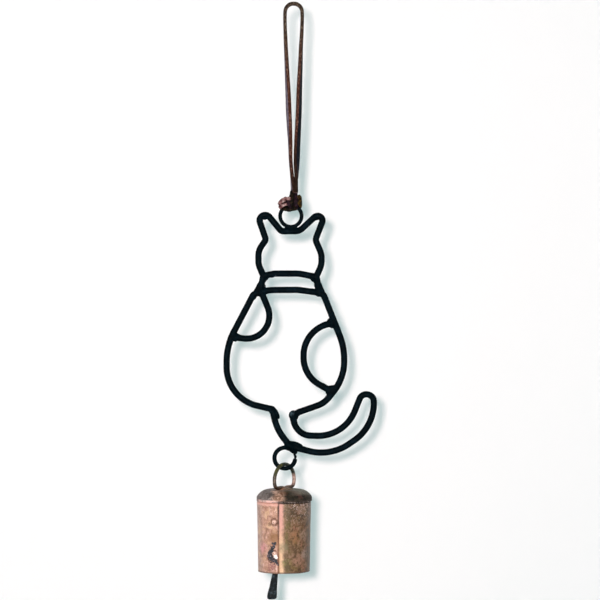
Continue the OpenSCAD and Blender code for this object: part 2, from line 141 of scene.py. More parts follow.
def resampled(points, step):
    """Even points along a line."""
    out, carry = [points[0].copy()], 0
    for a, b in zip(points, points[1:]):
        length = (b - a).length
        if length < 1e-9:
            continue
        at = step - carry
        while at < length:
            out.append(a + (b - a) * (at / length))
            at += step
        carry = length - (at - step)
    if (out[-1] - points[-1]).length > step * 0.3:
        out.append(points[-1].copy())
    else:
        out[-1] = points[-1].copy()
    return out


def section_frames(points, normal, closed=False):
    """For each point its tangent, a side vector and the normal carried along the line."""
    n, out, last = len(points), [], Vector(normal)
    for i in range(n):
        a = points[(i - 1) % n] if closed or i > 0 else points[i]
        b = points[(i + 1) % n] if closed or i < n - 1 else points[i]
        along = (b - a).normalized()
        last = (last - along * last.dot(along)).normalized()
        out.append((along, last.cross(along).normalized(), last.copy()))
    return out


def add_tube(bm, points, r, sides=20, lump=0.02, size=2.2, seed=0, closed=False,
             normal=Y_AXIS, dome=0.35):
    """A rod of radius r along points, with hand-made unevenness."""
    frames, rings = section_frames(points, normal, closed), []
    for middle, (_, side, up) in zip(points, frames):
        ring = []
        for k in range(sides):
            a = 2 * pi * k / sides
            out = side * cos(a) + up * sin(a)
            p = middle + out * r
            swell = lump * (wobble(p, size, seed) + 0.5 * wobble(p, size / 3, seed + 3) - 0.6)
            ring.append(bm.verts.new(middle + out * r * (1 + swell)))
        rings.append(ring)
    for a, b in zip(rings, rings[1:] + (rings[:1] if closed else [])):
        skin(bm, a, b)
    if not closed:
        for end, sign in ((0, -1), (-1, 1)):
            along, middle = frames[end][0] * sign, points[end]
            inner = [bm.verts.new(middle + (v.co - middle) * 0.8 + along * r * dome * 0.7)
                     for v in rings[end]]
            tip = bm.verts.new(middle + along * r * dome)
            skin(bm, rings[end], inner)
            for k in range(sides):
                bm.faces.new((inner[k], inner[(k + 1) % sides], tip))


def rod_piece(name, route, node, seed, d=ROD_D, **extra):
    bm = bmesh.new()
    add_tube(bm, route, d / 2, seed=seed, **extra)
    finish_piece(name, bm, "figure", "black_iron", [IRON], [node])


def spline(rows, step):
    """Even rows along a Catmull-Rom curve through rows; the first three numbers are the place."""
    fine = []
    for i in range(len(rows) - 1):
        p0, p1 = rows[max(0, i - 1)], rows[i]
        p2, p3 = rows[i + 1], rows[min(len(rows) - 1, i + 2)]
        span = sqrt(sum((p2[k] - p1[k]) ** 2 for k in range(3)))
        count = max(2, int(span / (step * 0.5)))
        for j in range(count):
            t = j / count
            fine.append([0.5 * (2 * b + (c - a) * t + (2 * a - 5 * b + 4 * c - d) * t * t
                                + (3 * b - a - 3 * c + d) * t ** 3)
                         for a, b, c, d in zip(p0, p1, p2, p3)])
    fine.append(list(rows[-1]))
    out, run = [fine[0]], 0
    for a, b in zip(fine, fine[1:]):
        run += sqrt(sum((b[k] - a[k]) ** 2 for k in range(3)))
        if run >= step:
            out.append(b)
            run = 0
    out[-1] = fine[-1]
    return out


def strap_section(w, t):
    """Outline of the flat lace's section, and whether each side of it is a cut edge."""
    corner = t * 0.34
    u, v = w / 2 - corner, t / 2 - corner
    outline, edge = [], []
    for cx, cy, start in ((u, v, 0), (-u, v, 90), (-u, -v, 180), (u, -v, 270)):
        for k in range(4):
            a = radians(start + 30 * k)
            outline.append((cx + corner * cos(a), cy + corner * sin(a)))
            edge.append(True)
        if start in (0, 180):
            edge[-1] = False
            sign = 1 if start == 0 else -1
            for share in (0.6, 0.2, -0.2, -0.6):
                outline.append((sign * share * u, sign * t / 2))
                edge.append(False)
    return outline, edge


def pillow_section(w, t):
    """A squeezed strap's outline, rounded all over."""
    outline = []
    for k in range(24):
        c, s = cos(2 * pi * k / 24), sin(2 * pi * k / 24)
        outline.append((w / 2 * abs(c) ** 0.72 * (1 if c > 0 else -1),
                        t / 2 * abs(s) ** 0.78 * (1 if s > 0 else -1)))
    return outline, [False] * len(outline)


def add_strap(bm, rows, w, t, step, seed=0, face=0, end=2, wave=0.05, section=strap_section,
              dome=0.09):
    """A flat leather strip. Each row is x, y, z and the direction across its width."""
    outline, edge = section(w, t)
    rows = spline(rows, step)
    centres = [Vector(r[:3]) for r in rows]
    rings = []
    for i, (row, centre) in enumerate(zip(rows, centres)):
        along = (centres[min(i + 1, len(rows) - 1)] - centres[max(0, i - 1)]).normalized()
        across = Vector(row[3:6])
        across = (across - along * across.dot(along)).normalized()
        thick = along.cross(across).normalized()
        shift = wave * wobble(centre, 5, seed + 11)
        swell = 1 + 0.5 * wave * wobble(centre, 3.5, seed)
        ring = []
        for u, v in outline:
            p = centre + across * (u * swell + shift) + thick * v
            p += thick * (0.35 * wave * wobble(p, 1.6, seed + 5)) * (1 if v > 0 else -1)
            ring.append(bm.verts.new(p))
        rings.append(ring)
    for a, b in zip(rings, rings[1:]):
        for f, cut in zip(skin(bm, a, b), edge):
            f.material_index = 1 if cut else face
    for i, inward in ((0, 1), (-1, -2)):
        along = (centres[i] - centres[inward]).normalized()
        last = rings[i]
        for size, out in ((0.92, 0.5), (0.7, 0.88), (0.35, 1)):
            inner = [bm.verts.new(centres[i] + (v.co - centres[i]) * size + along * t * dome * out)
                     for v in rings[i]]
            for f in skin(bm, last, inner):
                f.material_index = end
            last = inner
        bm.faces.new(last).material_index = end
    return rows


def add_lathe(bm, profile, segments, shift, axis_x=0, capped=True):
    """A turned shape about an upright axis. shift moves each point of the surface."""
    grid = []
    for k in range(segments):
        a = 2 * pi * k / segments
        grid.append([bm.verts.new(shift(Vector((axis_x + r * cos(a), r * sin(a), z)), a, r))
                     for r, z in profile])
    for a, b in zip(grid, grid[1:] + grid[:1]):
        skin(bm, a, b, closed=False)
    for i in (0, -1):
        loop = [column[i] for column in grid]
        if profile[i][0] < 0.01:
            bmesh.ops.remove_doubles(bm, verts=loop, dist=0.02)
        elif capped:
            bm.faces.new(loop)


def finer(profile, step):
    """A profile with more points along its straights."""
    out = [profile[0]]
    for (a, b), (c, d) in zip(profile, profile[1:]):
        count = max(1, int(hypot(c - a, d - b) / step))
        out += [(a + (c - a) * k / count, b + (d - b) * k / count) for k in range(1, count + 1)]
    return out


def melted(name, parts, voxel, smooth, body, slot, material, nodes=(), lump=0.08, size=0.9,
           seed=0):
    """Beads (place, radius, stretch, turn) and rods (route, radius) run together as weld metal."""
    bm = bmesh.new()
    for part in parts:
        if len(part) == 2:
            add_tube(bm, *part, sides=16, lump=0, dome=0.8)
            continue
        at, r, stretch, turn = part
        c, s = cos(radians(turn)), sin(radians(turn))
        for v in bmesh.ops.create_icosphere(bm, subdivisions=3, radius=1)["verts"]:
            x, y, z = (v.co[k] * r * stretch[k] for k in range(3))
            v.co = Vector(at) + Vector((x * c + z * s, y, z * c - x * s))
    mesh = bpy.data.meshes.new(name + "_raw")
    bm.to_mesh(mesh)
    bm.free()
    raw = added(name + "_raw", mesh)
    remesh = raw.modifiers.new("remesh", "REMESH")
    remesh.mode = "VOXEL"
    remesh.voxel_size = voxel
    soften = raw.modifiers.new("soften", "SMOOTH")
    soften.iterations = smooth
    soften.factor = 0.5
    bpy.context.view_layer.update()
    made = bpy.data.meshes.new_from_object(raw.evaluated_get(bpy.context.evaluated_depsgraph_get()))
    bm = bmesh.new()
    bm.from_mesh(made)
    bpy.data.objects.remove(raw)
    bpy.data.meshes.remove(mesh)
    bpy.data.meshes.remove(made)
    bm.normal_update()
    moves = [v.normal * lump * (wobble(v.co, size, seed) + 0.5 * wobble(v.co, size / 2.5, seed + 7))
             for v in bm.verts]
    for v, move in zip(bm.verts, moves):
        v.co += move
    finish_piece(name, bm, body, slot, [material], nodes, sharp=180)


# ---- materials

def linear(colour):
    """A colour as seen on the screen, 0 to 255, as the shader takes it."""
    return tuple(((c / 255 + 0.055) / 1.055) ** 2.4 if c > 10 else c / 255 / 12.92
                 for c in colour) + (1,)


class Look:
    """A node material laid out in millimetres of the object. Its colours are tuples of 0 to 255."""

    def __init__(self, name, roughness=0.5, metallic=0, specular=0.5):
        self.material = bpy.data.materials.new(name)
        self.material.use_nodes = True
        self.tree = self.material.node_tree
        self.shader = self.tree.nodes["Principled BSDF"].inputs
        self.shader["Roughness"].default_value = roughness
        self.shader["Metallic"].default_value = metallic
        self.shader["Specular IOR Level"].default_value = specular
        self.base = None
        coords = self.tree.nodes.new("ShaderNodeTexCoord")
        self.place = self.vector("SCALE", coords.outputs["Object"], 1 / MM, "Scale")
        split = self.tree.nodes.new("ShaderNodeSeparateXYZ")
        self.put(split.inputs[0], self.place)
        self.x, self.y, self.z = split.outputs

    def put(self, socket, value):
        if isinstance(value, tuple) and socket.type == "RGBA":
            value = linear(value)
        if isinstance(value, (int, float, tuple)):
            socket.default_value = value
        else:
            self.tree.links.new(value, socket)

    def node(self, kind, **inputs):
        made = self.tree.nodes.new(kind)
        for key, value in inputs.items():
            self.put(made.inputs[key], value)
        return made

    def math(self, operation, a, b=0, clamp=False):
        made = self.tree.nodes.new("ShaderNodeMath")
        made.operation, made.use_clamp = operation, clamp
        self.put(made.inputs[0], a)
        self.put(made.inputs[1], b)
        return made.outputs[0]

    def times(self, share, *more):
        for factor in more:
            share = self.math("MULTIPLY", share, factor)
        return share

    def plus(self, a, b):
        return self.math("ADD", a, b)

    def minus(self, a, b):
        return self.math("SUBTRACT", a, b)

    def over(self, a, b, clamp=False):
        return self.math("DIVIDE", a, b, clamp)

    def wander(self, value, pattern, amount):
        """A place or an angle, pushed to and fro by a pattern."""
        return self.plus(value, self.times(self.minus(pattern, 0.5), amount))

    def vector(self, operation, a, b, slot=1):
        made = self.tree.nodes.new("ShaderNodeVectorMath")
        made.operation = operation
        self.put(made.inputs[0], a)
        self.put(made.inputs[slot], b)
        return made.outputs["Value" if operation == "DISTANCE" else "Vector"]

    def noise(self, size, detail=3, rough=0.55, warp=0, squeeze=None):
        place = self.vector("MULTIPLY", self.place, (1, 1, squeeze)) if squeeze else self.place
        return self.node("ShaderNodeTexNoise", Scale=1 / size, Detail=detail, Roughness=rough,
                         Distortion=warp, Vector=place).outputs["Fac"]

    def cells(self, size):
        return self.node("ShaderNodeTexVoronoi", Scale=1 / size,
                         Vector=self.place).outputs["Distance"]

    def ramp(self, value, *stops):
        """A colour ramp. Its stops are by turns a place in hundredths and a colour or grey."""
        made = self.node("ShaderNodeValToRGB", Fac=value)
        points = made.color_ramp.elements
        while len(points) < len(stops) // 2:
            points.new(0.5)
        for point, at, colour in zip(points, stops[::2], stops[1::2]):
            point.position = at / 100
            point.color = linear(colour) if isinstance(colour, tuple) else (colour,) * 3 + (1,)
        return made.outputs[0]

    def band(self, value, low, high, soft):
        """1 between low and high, falling to 0 over soft on each side."""
        return self.times(self.over(self.minus(value, low - soft), soft, True),
                          self.over(self.minus(high + soft, value), soft, True))

    def layer(self, top, bottom, soft):
        """1 between two depths under the top of the crown."""
        return self.band(self.z, CROWN_Z - bottom, CROWN_Z - top, soft)

    def near(self, point, reach, soft):
        """1 within reach of a point, falling to 0 over soft."""
        gap = self.vector("DISTANCE", self.place, point)
        return self.over(self.minus(reach + soft, gap), soft, True)

    def mix(self, share, a, b):
        made = self.tree.nodes.new("ShaderNodeMix")
        made.data_type = "RGBA"
        for socket, value in ((0, share), (6, a), (7, b)):
            self.put(made.inputs[socket], value)
        return made.outputs[2]

    def cover(self, tint, *shares):
        """Lays a tint over the colour so far, as far as all the shares allow."""
        self.base = self.mix(self.times(*shares), self.base, tint)

    def finish(self, rough, *bumps):
        """Joins colour, roughness and bumps (height, depth in millimetres, strength)."""
        self.put(self.shader["Base Color"], self.base)
        if rough:
            self.put(self.shader["Roughness"], rough)
        normal = None
        for height, depth, strength in bumps:
            made = self.node("ShaderNodeBump", Strength=strength, Distance=depth * MM,
                             Height=height)
            if normal:
                self.put(made.inputs["Normal"], normal)
            normal = made.outputs[0]
        self.put(self.shader["Normal"], normal)
        return self.material


def px(x, y, depth=0):
    """A place on the figure's plane from where it is seen."""
    return (x - ORIGIN_PX[0]) * PX_MM, depth, (ORIGIN_PX[1] - y) * PX_MM


def painted_iron(name, depth, painted_highlights=()):
    """Black paint over iron, with a faint blue sheen and given places painted lighter as a painted
    highlight.
    """
    look = Look(name, 0.42, specular=0.015)
    fine = look.noise(0.35, 4, 0.65)
    look.base = look.ramp(look.noise(2.6, 4, 0.6, 0.4), 32, (1, 5, 8), 52, (2, 11, 16),
                          70, (8, 22, 30))
    look.cover((24, 38, 48), look.ramp(fine, 60, 0, 72, 1), 0.25)
    highlight_breakup = look.ramp(look.noise(0.9, 4, 0.7, 0.6), 46, 0.15, 62, 1)
    # painted highlight: the given spots made lighter, broken up by noise
    for spot in painted_highlights:
        look.cover((70, 88, 98), look.near(*spot), highlight_breakup)
    return look.finish(look.ramp(look.noise(1.6), 30, 0.3, 70, 0.55), (fine, depth * 0.5, 0.8),
                       (look.noise(1.3, 3, 0.5), depth, 0.9))


def leather():
    """The lace's smooth face: grey-lilac on the left strand, painted as lit, and near black on the
    right strand, painted as in shade.
    """
    look = Look("lace_leather", 0.6, specular=0.06)
    tone = look.noise(5.5, 4, 0.6, 0.3)
    creases = look.noise(0.8, 4, 0.7, squeeze=0.35)
    lit = look.ramp(tone, 30, (76, 66, 78), 50, (100, 90, 104), 72, (126, 116, 128))
    dark = look.ramp(tone, 30, (4, 7, 16), 50, (11, 15, 26), 72, (28, 30, 42))
    tawny = look.ramp(tone, 30, (34, 26, 22), 60, (70, 58, 50))
    # painted light and shade: the left strand lit, the right strand shaded
    look.base = look.mix(look.ramp(look.over(look.x, 10), 0, 0, 6, 1), lit, dark)
    look.cover(tawny, look.ramp(look.over(look.z, -100), 8, 1, 30, 0))
    look.cover((24, 20, 20), look.ramp(creases, 36, 0.6, 52, 0))
    return look.finish(look.ramp(creases, 35, 0.66, 65, 0.46), (look.cells(0.32), 0.05, 0.6),
                       (creases, 0.1, 0.7))


def raw_edge():
    """The lace's cut edge: red-brown fibres with dark pores, browner over the top of the loop."""
    look = Look("lace_cut_edge", 0.8, specular=0.05)
    fibres = look.noise(0.55, 4, 0.7, 0.5, squeeze=0.5)
    down = look.over(look.z, -100)
    red = look.ramp(fibres, 36, (26, 12, 10), 47, (62, 34, 28), 56, (84, 50, 40),
                    64, (150, 112, 98))
    dark = look.ramp(fibres, 36, (10, 7, 6), 62, (48, 32, 24))
    tawny = look.ramp(fibres, 36, (26, 20, 16), 48, (52, 40, 34), 58, (80, 66, 54),
                      68, (146, 128, 112))
    look.base = look.mix(look.ramp(down, 10, 1, 45, 0), red, tawny)
    # painted shade: the right strand's edge darker from two thirds of the way down, the left
    # strand's a little
    look.cover(dark, look.ramp(down, 68, 0, 80, 0.9),
               look.ramp(look.over(look.x, 10), 0, 0.35, 5, 1))
    look.cover(dark, look.ramp(down, 86, 0, 93, 0.8))
    return look.finish(None, (fibres, 0.12, 0.8))


def knot_leather(name, *stops):
    """Rounded, squeezed leather in the knot."""
    look = Look(name, specular=0.04)
    creases = look.noise(0.6, 4, 0.7, squeeze=0.5)
    look.base = look.ramp(look.noise(1.5, 4, 0.62, 0.5), *stops)
    look.cover((22, 16, 16), look.ramp(creases, 34, 0.7, 50, 0))
    return look.finish(look.ramp(creases, 35, 0.62, 65, 0.4), (look.cells(0.3), 0.04, 0.5),
                       (creases, 0.12, 0.7))


def bail_look():
    """Brass wire gone green at the top, dark where it is folded, worn pink-grey on the legs."""
    look = Look("bail_wire", 0.45, 0.35)
    ramp = look.ramp
    tone, fine = look.noise(1.8, 4, 0.6, 0.5), look.noise(0.6, 4, 0.7)
    across, height = look.plus(look.times(look.x, 0.1), 1), look.times(look.z, 0.1)
    grey = ramp(tone, 36, (28, 22, 16), 50, (62, 50, 40), 64, (112, 92, 80))
    rosy = ramp(tone, 34, (96, 74, 66), 48, (148, 118, 108), 64, (192, 160, 148))
    brass = ramp(tone, 36, (28, 30, 10), 52, (66, 64, 22), 66, (110, 104, 48))
    green = ramp(tone, 36, (8, 16, 12), 62, (36, 42, 24))
    brown = ramp(tone, 38, (26, 16, 10), 62, (104, 66, 42))
    look.base = look.mix(ramp(across, 50, 0, 60, 1), grey, rosy)
    look.cover(look.mix(ramp(across, 36, 1, 46, 0), green, brass),
               ramp(look.plus(height, 24.9), 10, 0, 30, 1))
    look.cover(brown, ramp(look.plus(height, 25.4), 4, 1, 17, 0))
    look.cover((34, 28, 22), ramp(fine, 34, 0.6, 46, 0))
    return look.finish(ramp(fine, 30, 0.32, 70, 0.6), (fine, 0.06, 0.8))


def braze_look():
    """Melted brass round the bail's neck, duller at the left."""
    look = Look("bail_braze", metallic=0.3)
    tone = look.noise(1.1, 4, 0.65, 0.6)
    warm = look.ramp(tone, 34, (96, 60, 40), 50, (158, 108, 78), 66, (196, 142, 110))
    dull = look.ramp(tone, 34, (44, 34, 22), 50, (84, 66, 42), 66, (150, 108, 78))
    left = look.ramp(look.plus(look.times(look.x, 0.1), 1), 46, 1, 58, 0)
    look.base = look.mix(left, dull, warm)
    return look.finish(None, (look.noise(0.45, 4), 0.1, 0.9))


def around(look):
    """The angle round the bell as a share of a turn, with the lap's free edge at a half."""
    turn = look.math("ARCTAN2", look.y, look.minus(look.x, BELL_X))
    return look.math("FRACT", look.plus(look.over(look.minus(turn, LAP_START), 2 * pi), 1.5))


def under(x, y, down):
    """A place by its depth under the top of the crown."""
    return (x, y, CROWN_Z - down)


def crown_look():
    """Dark sheet, with worn copper by the bail, grey at the left and black at the right."""
    look = Look("crown_sheet", 0.6, 0.15, 0.2)
    ramp, band, near, layer, cover = look.ramp, look.band, look.near, look.layer, look.cover
    turn = around(look)
    patches, fine = look.noise(2.6, 5, 0.62, 0.7), look.noise(0.8, 4, 0.7, 0.3)
    dark = ramp(patches, 34, (14, 11, 6), 48, (34, 28, 17), 60, (52, 43, 32), 74, (80, 66, 56))
    grey = ramp(patches, 36, (72, 62, 58), 50, (108, 98, 94), 66, (140, 128, 124))
    copper = ramp(patches, 36, (104, 70, 50), 50, (162, 126, 106), 62, (206, 170, 150))
    look.base = look.mix(ramp(turn, 20, 0, 30, 1, 46, 1, 50.5, 0), dark, grey)
    cover(copper, band(look.wander(look.x, patches, 8), -9.6, -5.6, 2), band(look.y, -15, -2, 2),
          ramp(fine, 34, 0.4, 50, 1), layer(-1, 4.9, 0.3))
    # an olive and a plum stain, and a painted highlight on the dome at the right
    cover((84, 62, 30), near(under(-3.4, -8, 1), 2.4, 2.2), ramp(fine, 42, 0, 58, 0.9))
    cover((86, 48, 44), near(under(2.4, -8.6, 1.8), 2.2, 2.4), ramp(patches, 42, 0, 52, 0.85))
    cover((118, 114, 100), ramp(turn, 56, 0, 66, 0.9), layer(-0.4, 1.4, 1.4),
          ramp(patches, 36, 0.3, 56, 1))
    # the rim: a painted highlight along it at the front left, and chipped at the right
    cover((236, 192, 182), layer(5, 6.4, 0.35), ramp(look.noise(1.6), 34, 0.2, 54, 1),
          ramp(turn, 30, 0.25, 38, 0.95, 48.5, 1, 50.5, 0.2, 53, 0.03))
    cover((216, 194, 186), layer(5.8, 6.4, 0.12), ramp(turn, 50, 0, 52, 1),
          ramp(fine, 52, 0, 58, 0.9))
    cover((38, 30, 26), ramp(fine, 30, 0.5, 42, 0))
    return look.finish(ramp(fine, 30, 0.52, 70, 0.74), (fine, 0.07, 0.8), (patches, 0.25, 0.6))


def barrel_look():
    """Copper wash on sheet iron: pink at the left, pale by the lap and partly a painted highlight
    there, brown at the right.
    """
    look = Look("barrel_sheet", 0.5, 0.25, 0.4)
    ramp, band, near, layer, cover = look.ramp, look.band, look.near, look.layer, look.cover
    turn = around(look)
    clouds, spots = look.noise(3.4, 5, 0.6, 0.5), look.noise(2, 5, 0.7, 0.5)
    fine = look.noise(0.7, 4, 0.7, 0.3)
    depth = look.over(look.minus(CROWN_Z, look.z), BELL_H)
    pink = ramp(spots, 32, (150, 102, 84), 44, (184, 138, 116), 56, (206, 160, 142),
                68, (226, 192, 178))
    brown = ramp(spots, 34, (48, 32, 16), 46, (90, 66, 40), 54, (118, 88, 60), 66, (150, 118, 98))
    behind = ramp(spots, 30, (96, 70, 54), 50, (142, 106, 86), 70, (176, 140, 120))
    bright = look.mix(ramp(depth, 42, 0, 62, 1), (196, 142, 130), (206, 168, 134))
    bright = look.mix(ramp(spots, 36, 0.6, 50, 0), bright, (176, 132, 112))
    look.base = look.mix(ramp(turn, 50, 0, 50.2, 1, 80, 1, 92, 0), behind, brown)
    cover(pink, ramp(turn, 20, 0, 30, 1, 49.9, 1, 50.1, 0))
    # clouds and pale flecks on the brown side
    right = ramp(turn, 53.5, 0, 55, 1, 76, 1, 86, 0)
    cover((150, 102, 80), right, ramp(clouds, 54, 0, 66, 0.8))
    cover((112, 92, 46), right, ramp(clouds, 32, 0.8, 44, 0))
    cover((226, 200, 196), right, ramp(depth, 16, 1, 42, 0), ramp(fine, 54, 0, 60, 0.95))
    rubbed, sunk = ramp(spots, 42, 0.1, 56, 0.8), ramp(spots, 44, 0.85, 58, 0.2)
    for share, soft, stains in (
            (rubbed, 2.6, ((1.1, -12.7, 24.1, 2, (142, 98, 64)),
                           (5.6, -9.5, 23, 1.6, (146, 118, 100)),
                           (2.95, -11.5, 35.7, 2, (152, 112, 92)),
                           (6.4, -8.4, 33, 1.2, (152, 130, 118)),
                           (3.6, -11, 9, 1.4, (146, 120, 104)))),
            (sunk, 2.4, ((-0.9, -13.6, 11.5, 2.2, (62, 46, 26)),
                         (4.6, -10.6, 14.5, 1.6, (70, 54, 40)),
                         (0.4, -13, 31, 1.6, (84, 62, 40))))):
        for x, y, down, reach, tint in stains:
            cover(tint, near(under(x, y, down), reach, soft), share)
    # the pale band beside the lap, partly a painted highlight, its edge wandering a little, and the
    # olive strip past it
    cover(bright, ramp(look.wander(turn, clouds, 0.03), 50, 0, 50.2, 1, 52.1, 0.95, 53.8, 0))
    cover((104, 108, 44), near(under(-3.2, -14, 37.4), 1.4, 1.8), ramp(fine, 44, 0, 54, 0.9))
    olive = look.times(ramp(depth, 28, 0.1, 50, 0.9),
                       ramp(look.noise(5, 3, 0.6, 0.5), 42, 0.15, 56, 1))
    cover(look.mix(olive, (78, 56, 32), (88, 78, 22)),
          band(look.wander(look.x, clouds, 5), -4.4, -2.2, 0.9), right,
          ramp(spots, 40, 0.95, 60, 0.35))
    # painted reflection: grey where the barrel turns away at the left and right as seen from the
    # front; and the back
    cover((172, 148, 140), ramp(turn, 26, 0, 30, 0.75, 36, 0.55, 40, 0))
    cover((76, 72, 66), ramp(turn, 67, 0, 71, 0.7, 76, 0.6, 82, 0), ramp(spots, 40, 1, 60, 0.5))
    rear = ramp(turn, 14, 1, 28, 0, 74, 0, 84, 1)
    cover((196, 150, 128), rear, ramp(clouds, 54, 0, 64, 0.7))
    cover((88, 70, 46), rear, ramp(clouds, 36, 0.75, 46, 0))
    # stains on the pink side and by the lap
    left = ramp(turn, 28, 0, 34, 1, 49.9, 1, 50.1, 0)
    cover((140, 104, 84), left, ramp(clouds, 36, 0.75, 46, 0))
    cover((218, 180, 140), left, ramp(clouds, 52, 0, 62, 0.55))
    cover((216, 148, 152), near(under(-16.6, -9.4, 30), 1.4, 2.6), ramp(spots, 40, 0.3, 54, 0.9))
    cover((140, 88, 88), near(under(-11.4, -13, 39.4), 1.8, 1.8), ramp(fine, 46, 0, 54, 0.9))
    cover((84, 66, 40), near(under(-6, -14.6, 9.5), 3.4, 3), ramp(turn, 53.5, 0, 55, 0.55))
    cover((140, 98, 60), near(under(-9.2, -13.6, 24.5), 2.2, 3.2), left, 0.75)
    # dirt round the rivets and the slag, and the dull lip
    dirt = ramp(fine, 30, 1, 66, 0.35)
    for x, y, down, reach in ((-9.97, -13.7, 15.9, 1.95), (-9.97, -13.6, 32.4, 1.8),
                              (-12.6, -12.6, 17.2, 0.8), (-11.6, -12.9, 35, 2.2)):
        cover((84, 46, 32), near(under(x, y, down), reach, 0.6), dirt)
    cover((118, 106, 78), near(under(-5.2, -14.1, 29.4), 1.2, 2.2), ramp(spots, 40, 0.85, 60, 0.4))
    cover((84, 62, 50), ramp(depth, 97.5, 0, 99, 0.75))
    # the lap's edge: a painted shadow line beside the step, black above, orange-brown lower down
    cover(look.mix(ramp(depth, 50, 0, 60, 1), (34, 18, 14), (112, 58, 24)),
          ramp(turn, 49.45, 0, 49.75, 1, 50.4, 1, 50.65, 0), ramp(fine, 34, 1, 70, 0.6),
          ramp(depth, 26, 1, 34, 0.55, 60, 0.7))
    # the pressed neck under the crown's rim: a painted highlight at the left and painted shade at
    # the right
    cover((238, 178, 164), layer(5, 7.4, 0.5), left, 0.65)
    cover((44, 34, 28), layer(5, 6.5, 0.3), ramp(turn, 50, 0.1, 52, 0.85))
    # dark and pale flecks all over
    cover((92, 62, 48), ramp(fine, 34, 0.4, 42, 0))
    cover((236, 206, 190), ramp(fine, 64, 0, 72, 0.4))
    return look.finish(ramp(spots, 30, 0.36, 70, 0.6), (fine, 0.05, 0.7), (spots, 0.16, 0.7))


def plain_metal(name, size, metallic, rough, depth, *stops, gloss=0.5):
    look = Look(name, rough, metallic, gloss)
    look.base = look.ramp(look.noise(size, 4, 0.62, 0.4), *stops)
    return look.finish(look.ramp(look.noise(size * 0.6), 30, rough - 0.1, 70, rough + 0.15),
                       (look.noise(size * 0.3, 4, 0.6), depth, 0.8))


IRON = painted_iron("black_painted_iron", 0.05)
# the weld metal, with a painted highlight on the ball at the rump's right
WELD = painted_iron("black_painted_weld", 0.12, [(px(291.2, 412.6, -2), 0.7, 1.5)])
LACE_FACE, LACE_EDGE = leather(), raw_edge()
LACE_END = knot_leather("lace_cut_end", 36, (70, 40, 42), 47, (116, 78, 78),
                        56, (158, 122, 118), 64, (208, 184, 180))
# near-black leather, used also as painted shade under and between the knot's turns
KNOT_DARK_SHADE = knot_leather("knot_dark_shade", 36, (3, 3, 2), 50, (15, 11, 6), 64, (46, 31, 18))
KNOT_PLUM = knot_leather("knot_plum", 36, (8, 3, 6), 50, (24, 11, 18), 64, (50, 30, 40))
KNOT_OLIVE = knot_leather("knot_olive", 36, (10, 6, 2), 52, (36, 24, 7), 64, (92, 68, 20))
BAIL, BRAZE, CROWN, BARREL = bail_look(), braze_look(), crown_look(), barrel_look()
RIVET = plain_metal("copper_rivets", 0.8, 0.2, 0.42, 0.05, 32, (150, 104, 88),
                    46, (212, 168, 150), 60, (240, 208, 194))
SLAG = plain_metal("solder_slag", 0.8, 0.1, 0.5, 0.1, 36, (8, 8, 12), 52, (24, 24, 32),
                   60, (72, 66, 74), 68, (190, 150, 156))
# silvery solder, painted near white as a glint
SOLDER_GLINT = plain_metal("solder_glint", 0.6, 0.2, 0.3, 0.05, 30, (214, 200, 194), 60, (250, 246, 242))
CLAPPER = plain_metal("forged_clapper", 1.8, 0.1, 0.6, 0.1, 34, (4, 8, 11), 50, (12, 20, 24),
                      66, (62, 74, 82), gloss=0.2)


# ---- the lace

# The lace's route: x, y, z and its turn, as in the model's source
LACE_ROUTE = [
    (-0.1, -0.25, -98.8, 20), (-0.15, -0.25, -96, 18), (-0.65, -0.1, -90, 4),
    (-1.4, 0, -81.5, 4), (-1.6, 0, -73, 12), (-2, 0, -64.5, 24), (-2.4, 0, -56, 30),
    (-2.7, 0, -48, 27), (-3.1, 0, -39.5, 20), (-3.5, 0, -31, 12), (-3.9, 0, -22.5, 6),
    (-4.25, 0, -14, 2), (-4.4, 0, -8, 0), (-4.35, 0, -4, 0), (-4, 0, -2.1, 0),
    (-3, 0, -0.6, 0), (-1.6, 0, 0.35, 0), (0.1, 0, 0.625, 0), (1.8, 0, 0.35, 0),
    (3.3, 0, -0.6, 0), (4.3, 0, -2.1, 0), (4.6, 0, -4, 0), (4.65, 0, -8, 0),
    (4.45, 0, -14, -2), (4, 0, -22.5, -8), (3.7, 0, -31, -16), (3.35, 0, -39.5, -24),
    (3.05, 0, -48, -31), (2.85, 0, -56, -35), (2.45, 0, -64.5, -40), (2.05, 0, -73, -43),
    (1.75, 0.05, -81.5, -40), (1.6, 0.1, -90, -8), (1.25, 0.25, -96, 16),
    (1.2, 0.25, -98.8, 20)]
LACE_W, LACE_T = 3.7, 1.9

bm = bmesh.new()
lace_rows = add_strap(bm, [(x, y, z, -sin(radians(a)), cos(radians(a)), 0)
                           for x, y, z, a in LACE_ROUTE], LACE_W, LACE_T, 0.6, wave=0.06)
lace = finish_piece("lace_loop", bm, "lace", "lace_leather", [LACE_FACE, LACE_EDGE, LACE_END],
                    ["hanging_lace"])
lace_path = [Vector(row[:3]) * MM for row in lace_rows]


# ---- the knot

def strap_piece(name, straps, materials, nodes=(), slot="lace_leather"):
    """Squeezed straps. Each is its rows, width, thickness, seed and which material it has."""
    bm = bmesh.new()
    for rows, w, t, seed, face in straps:
        add_strap(bm, rows, w, t, 0.3, seed, face, face, 0.12, pillow_section, 0.34)
    finish_piece(name, bm, "lace", slot, materials, nodes, sharp=70)


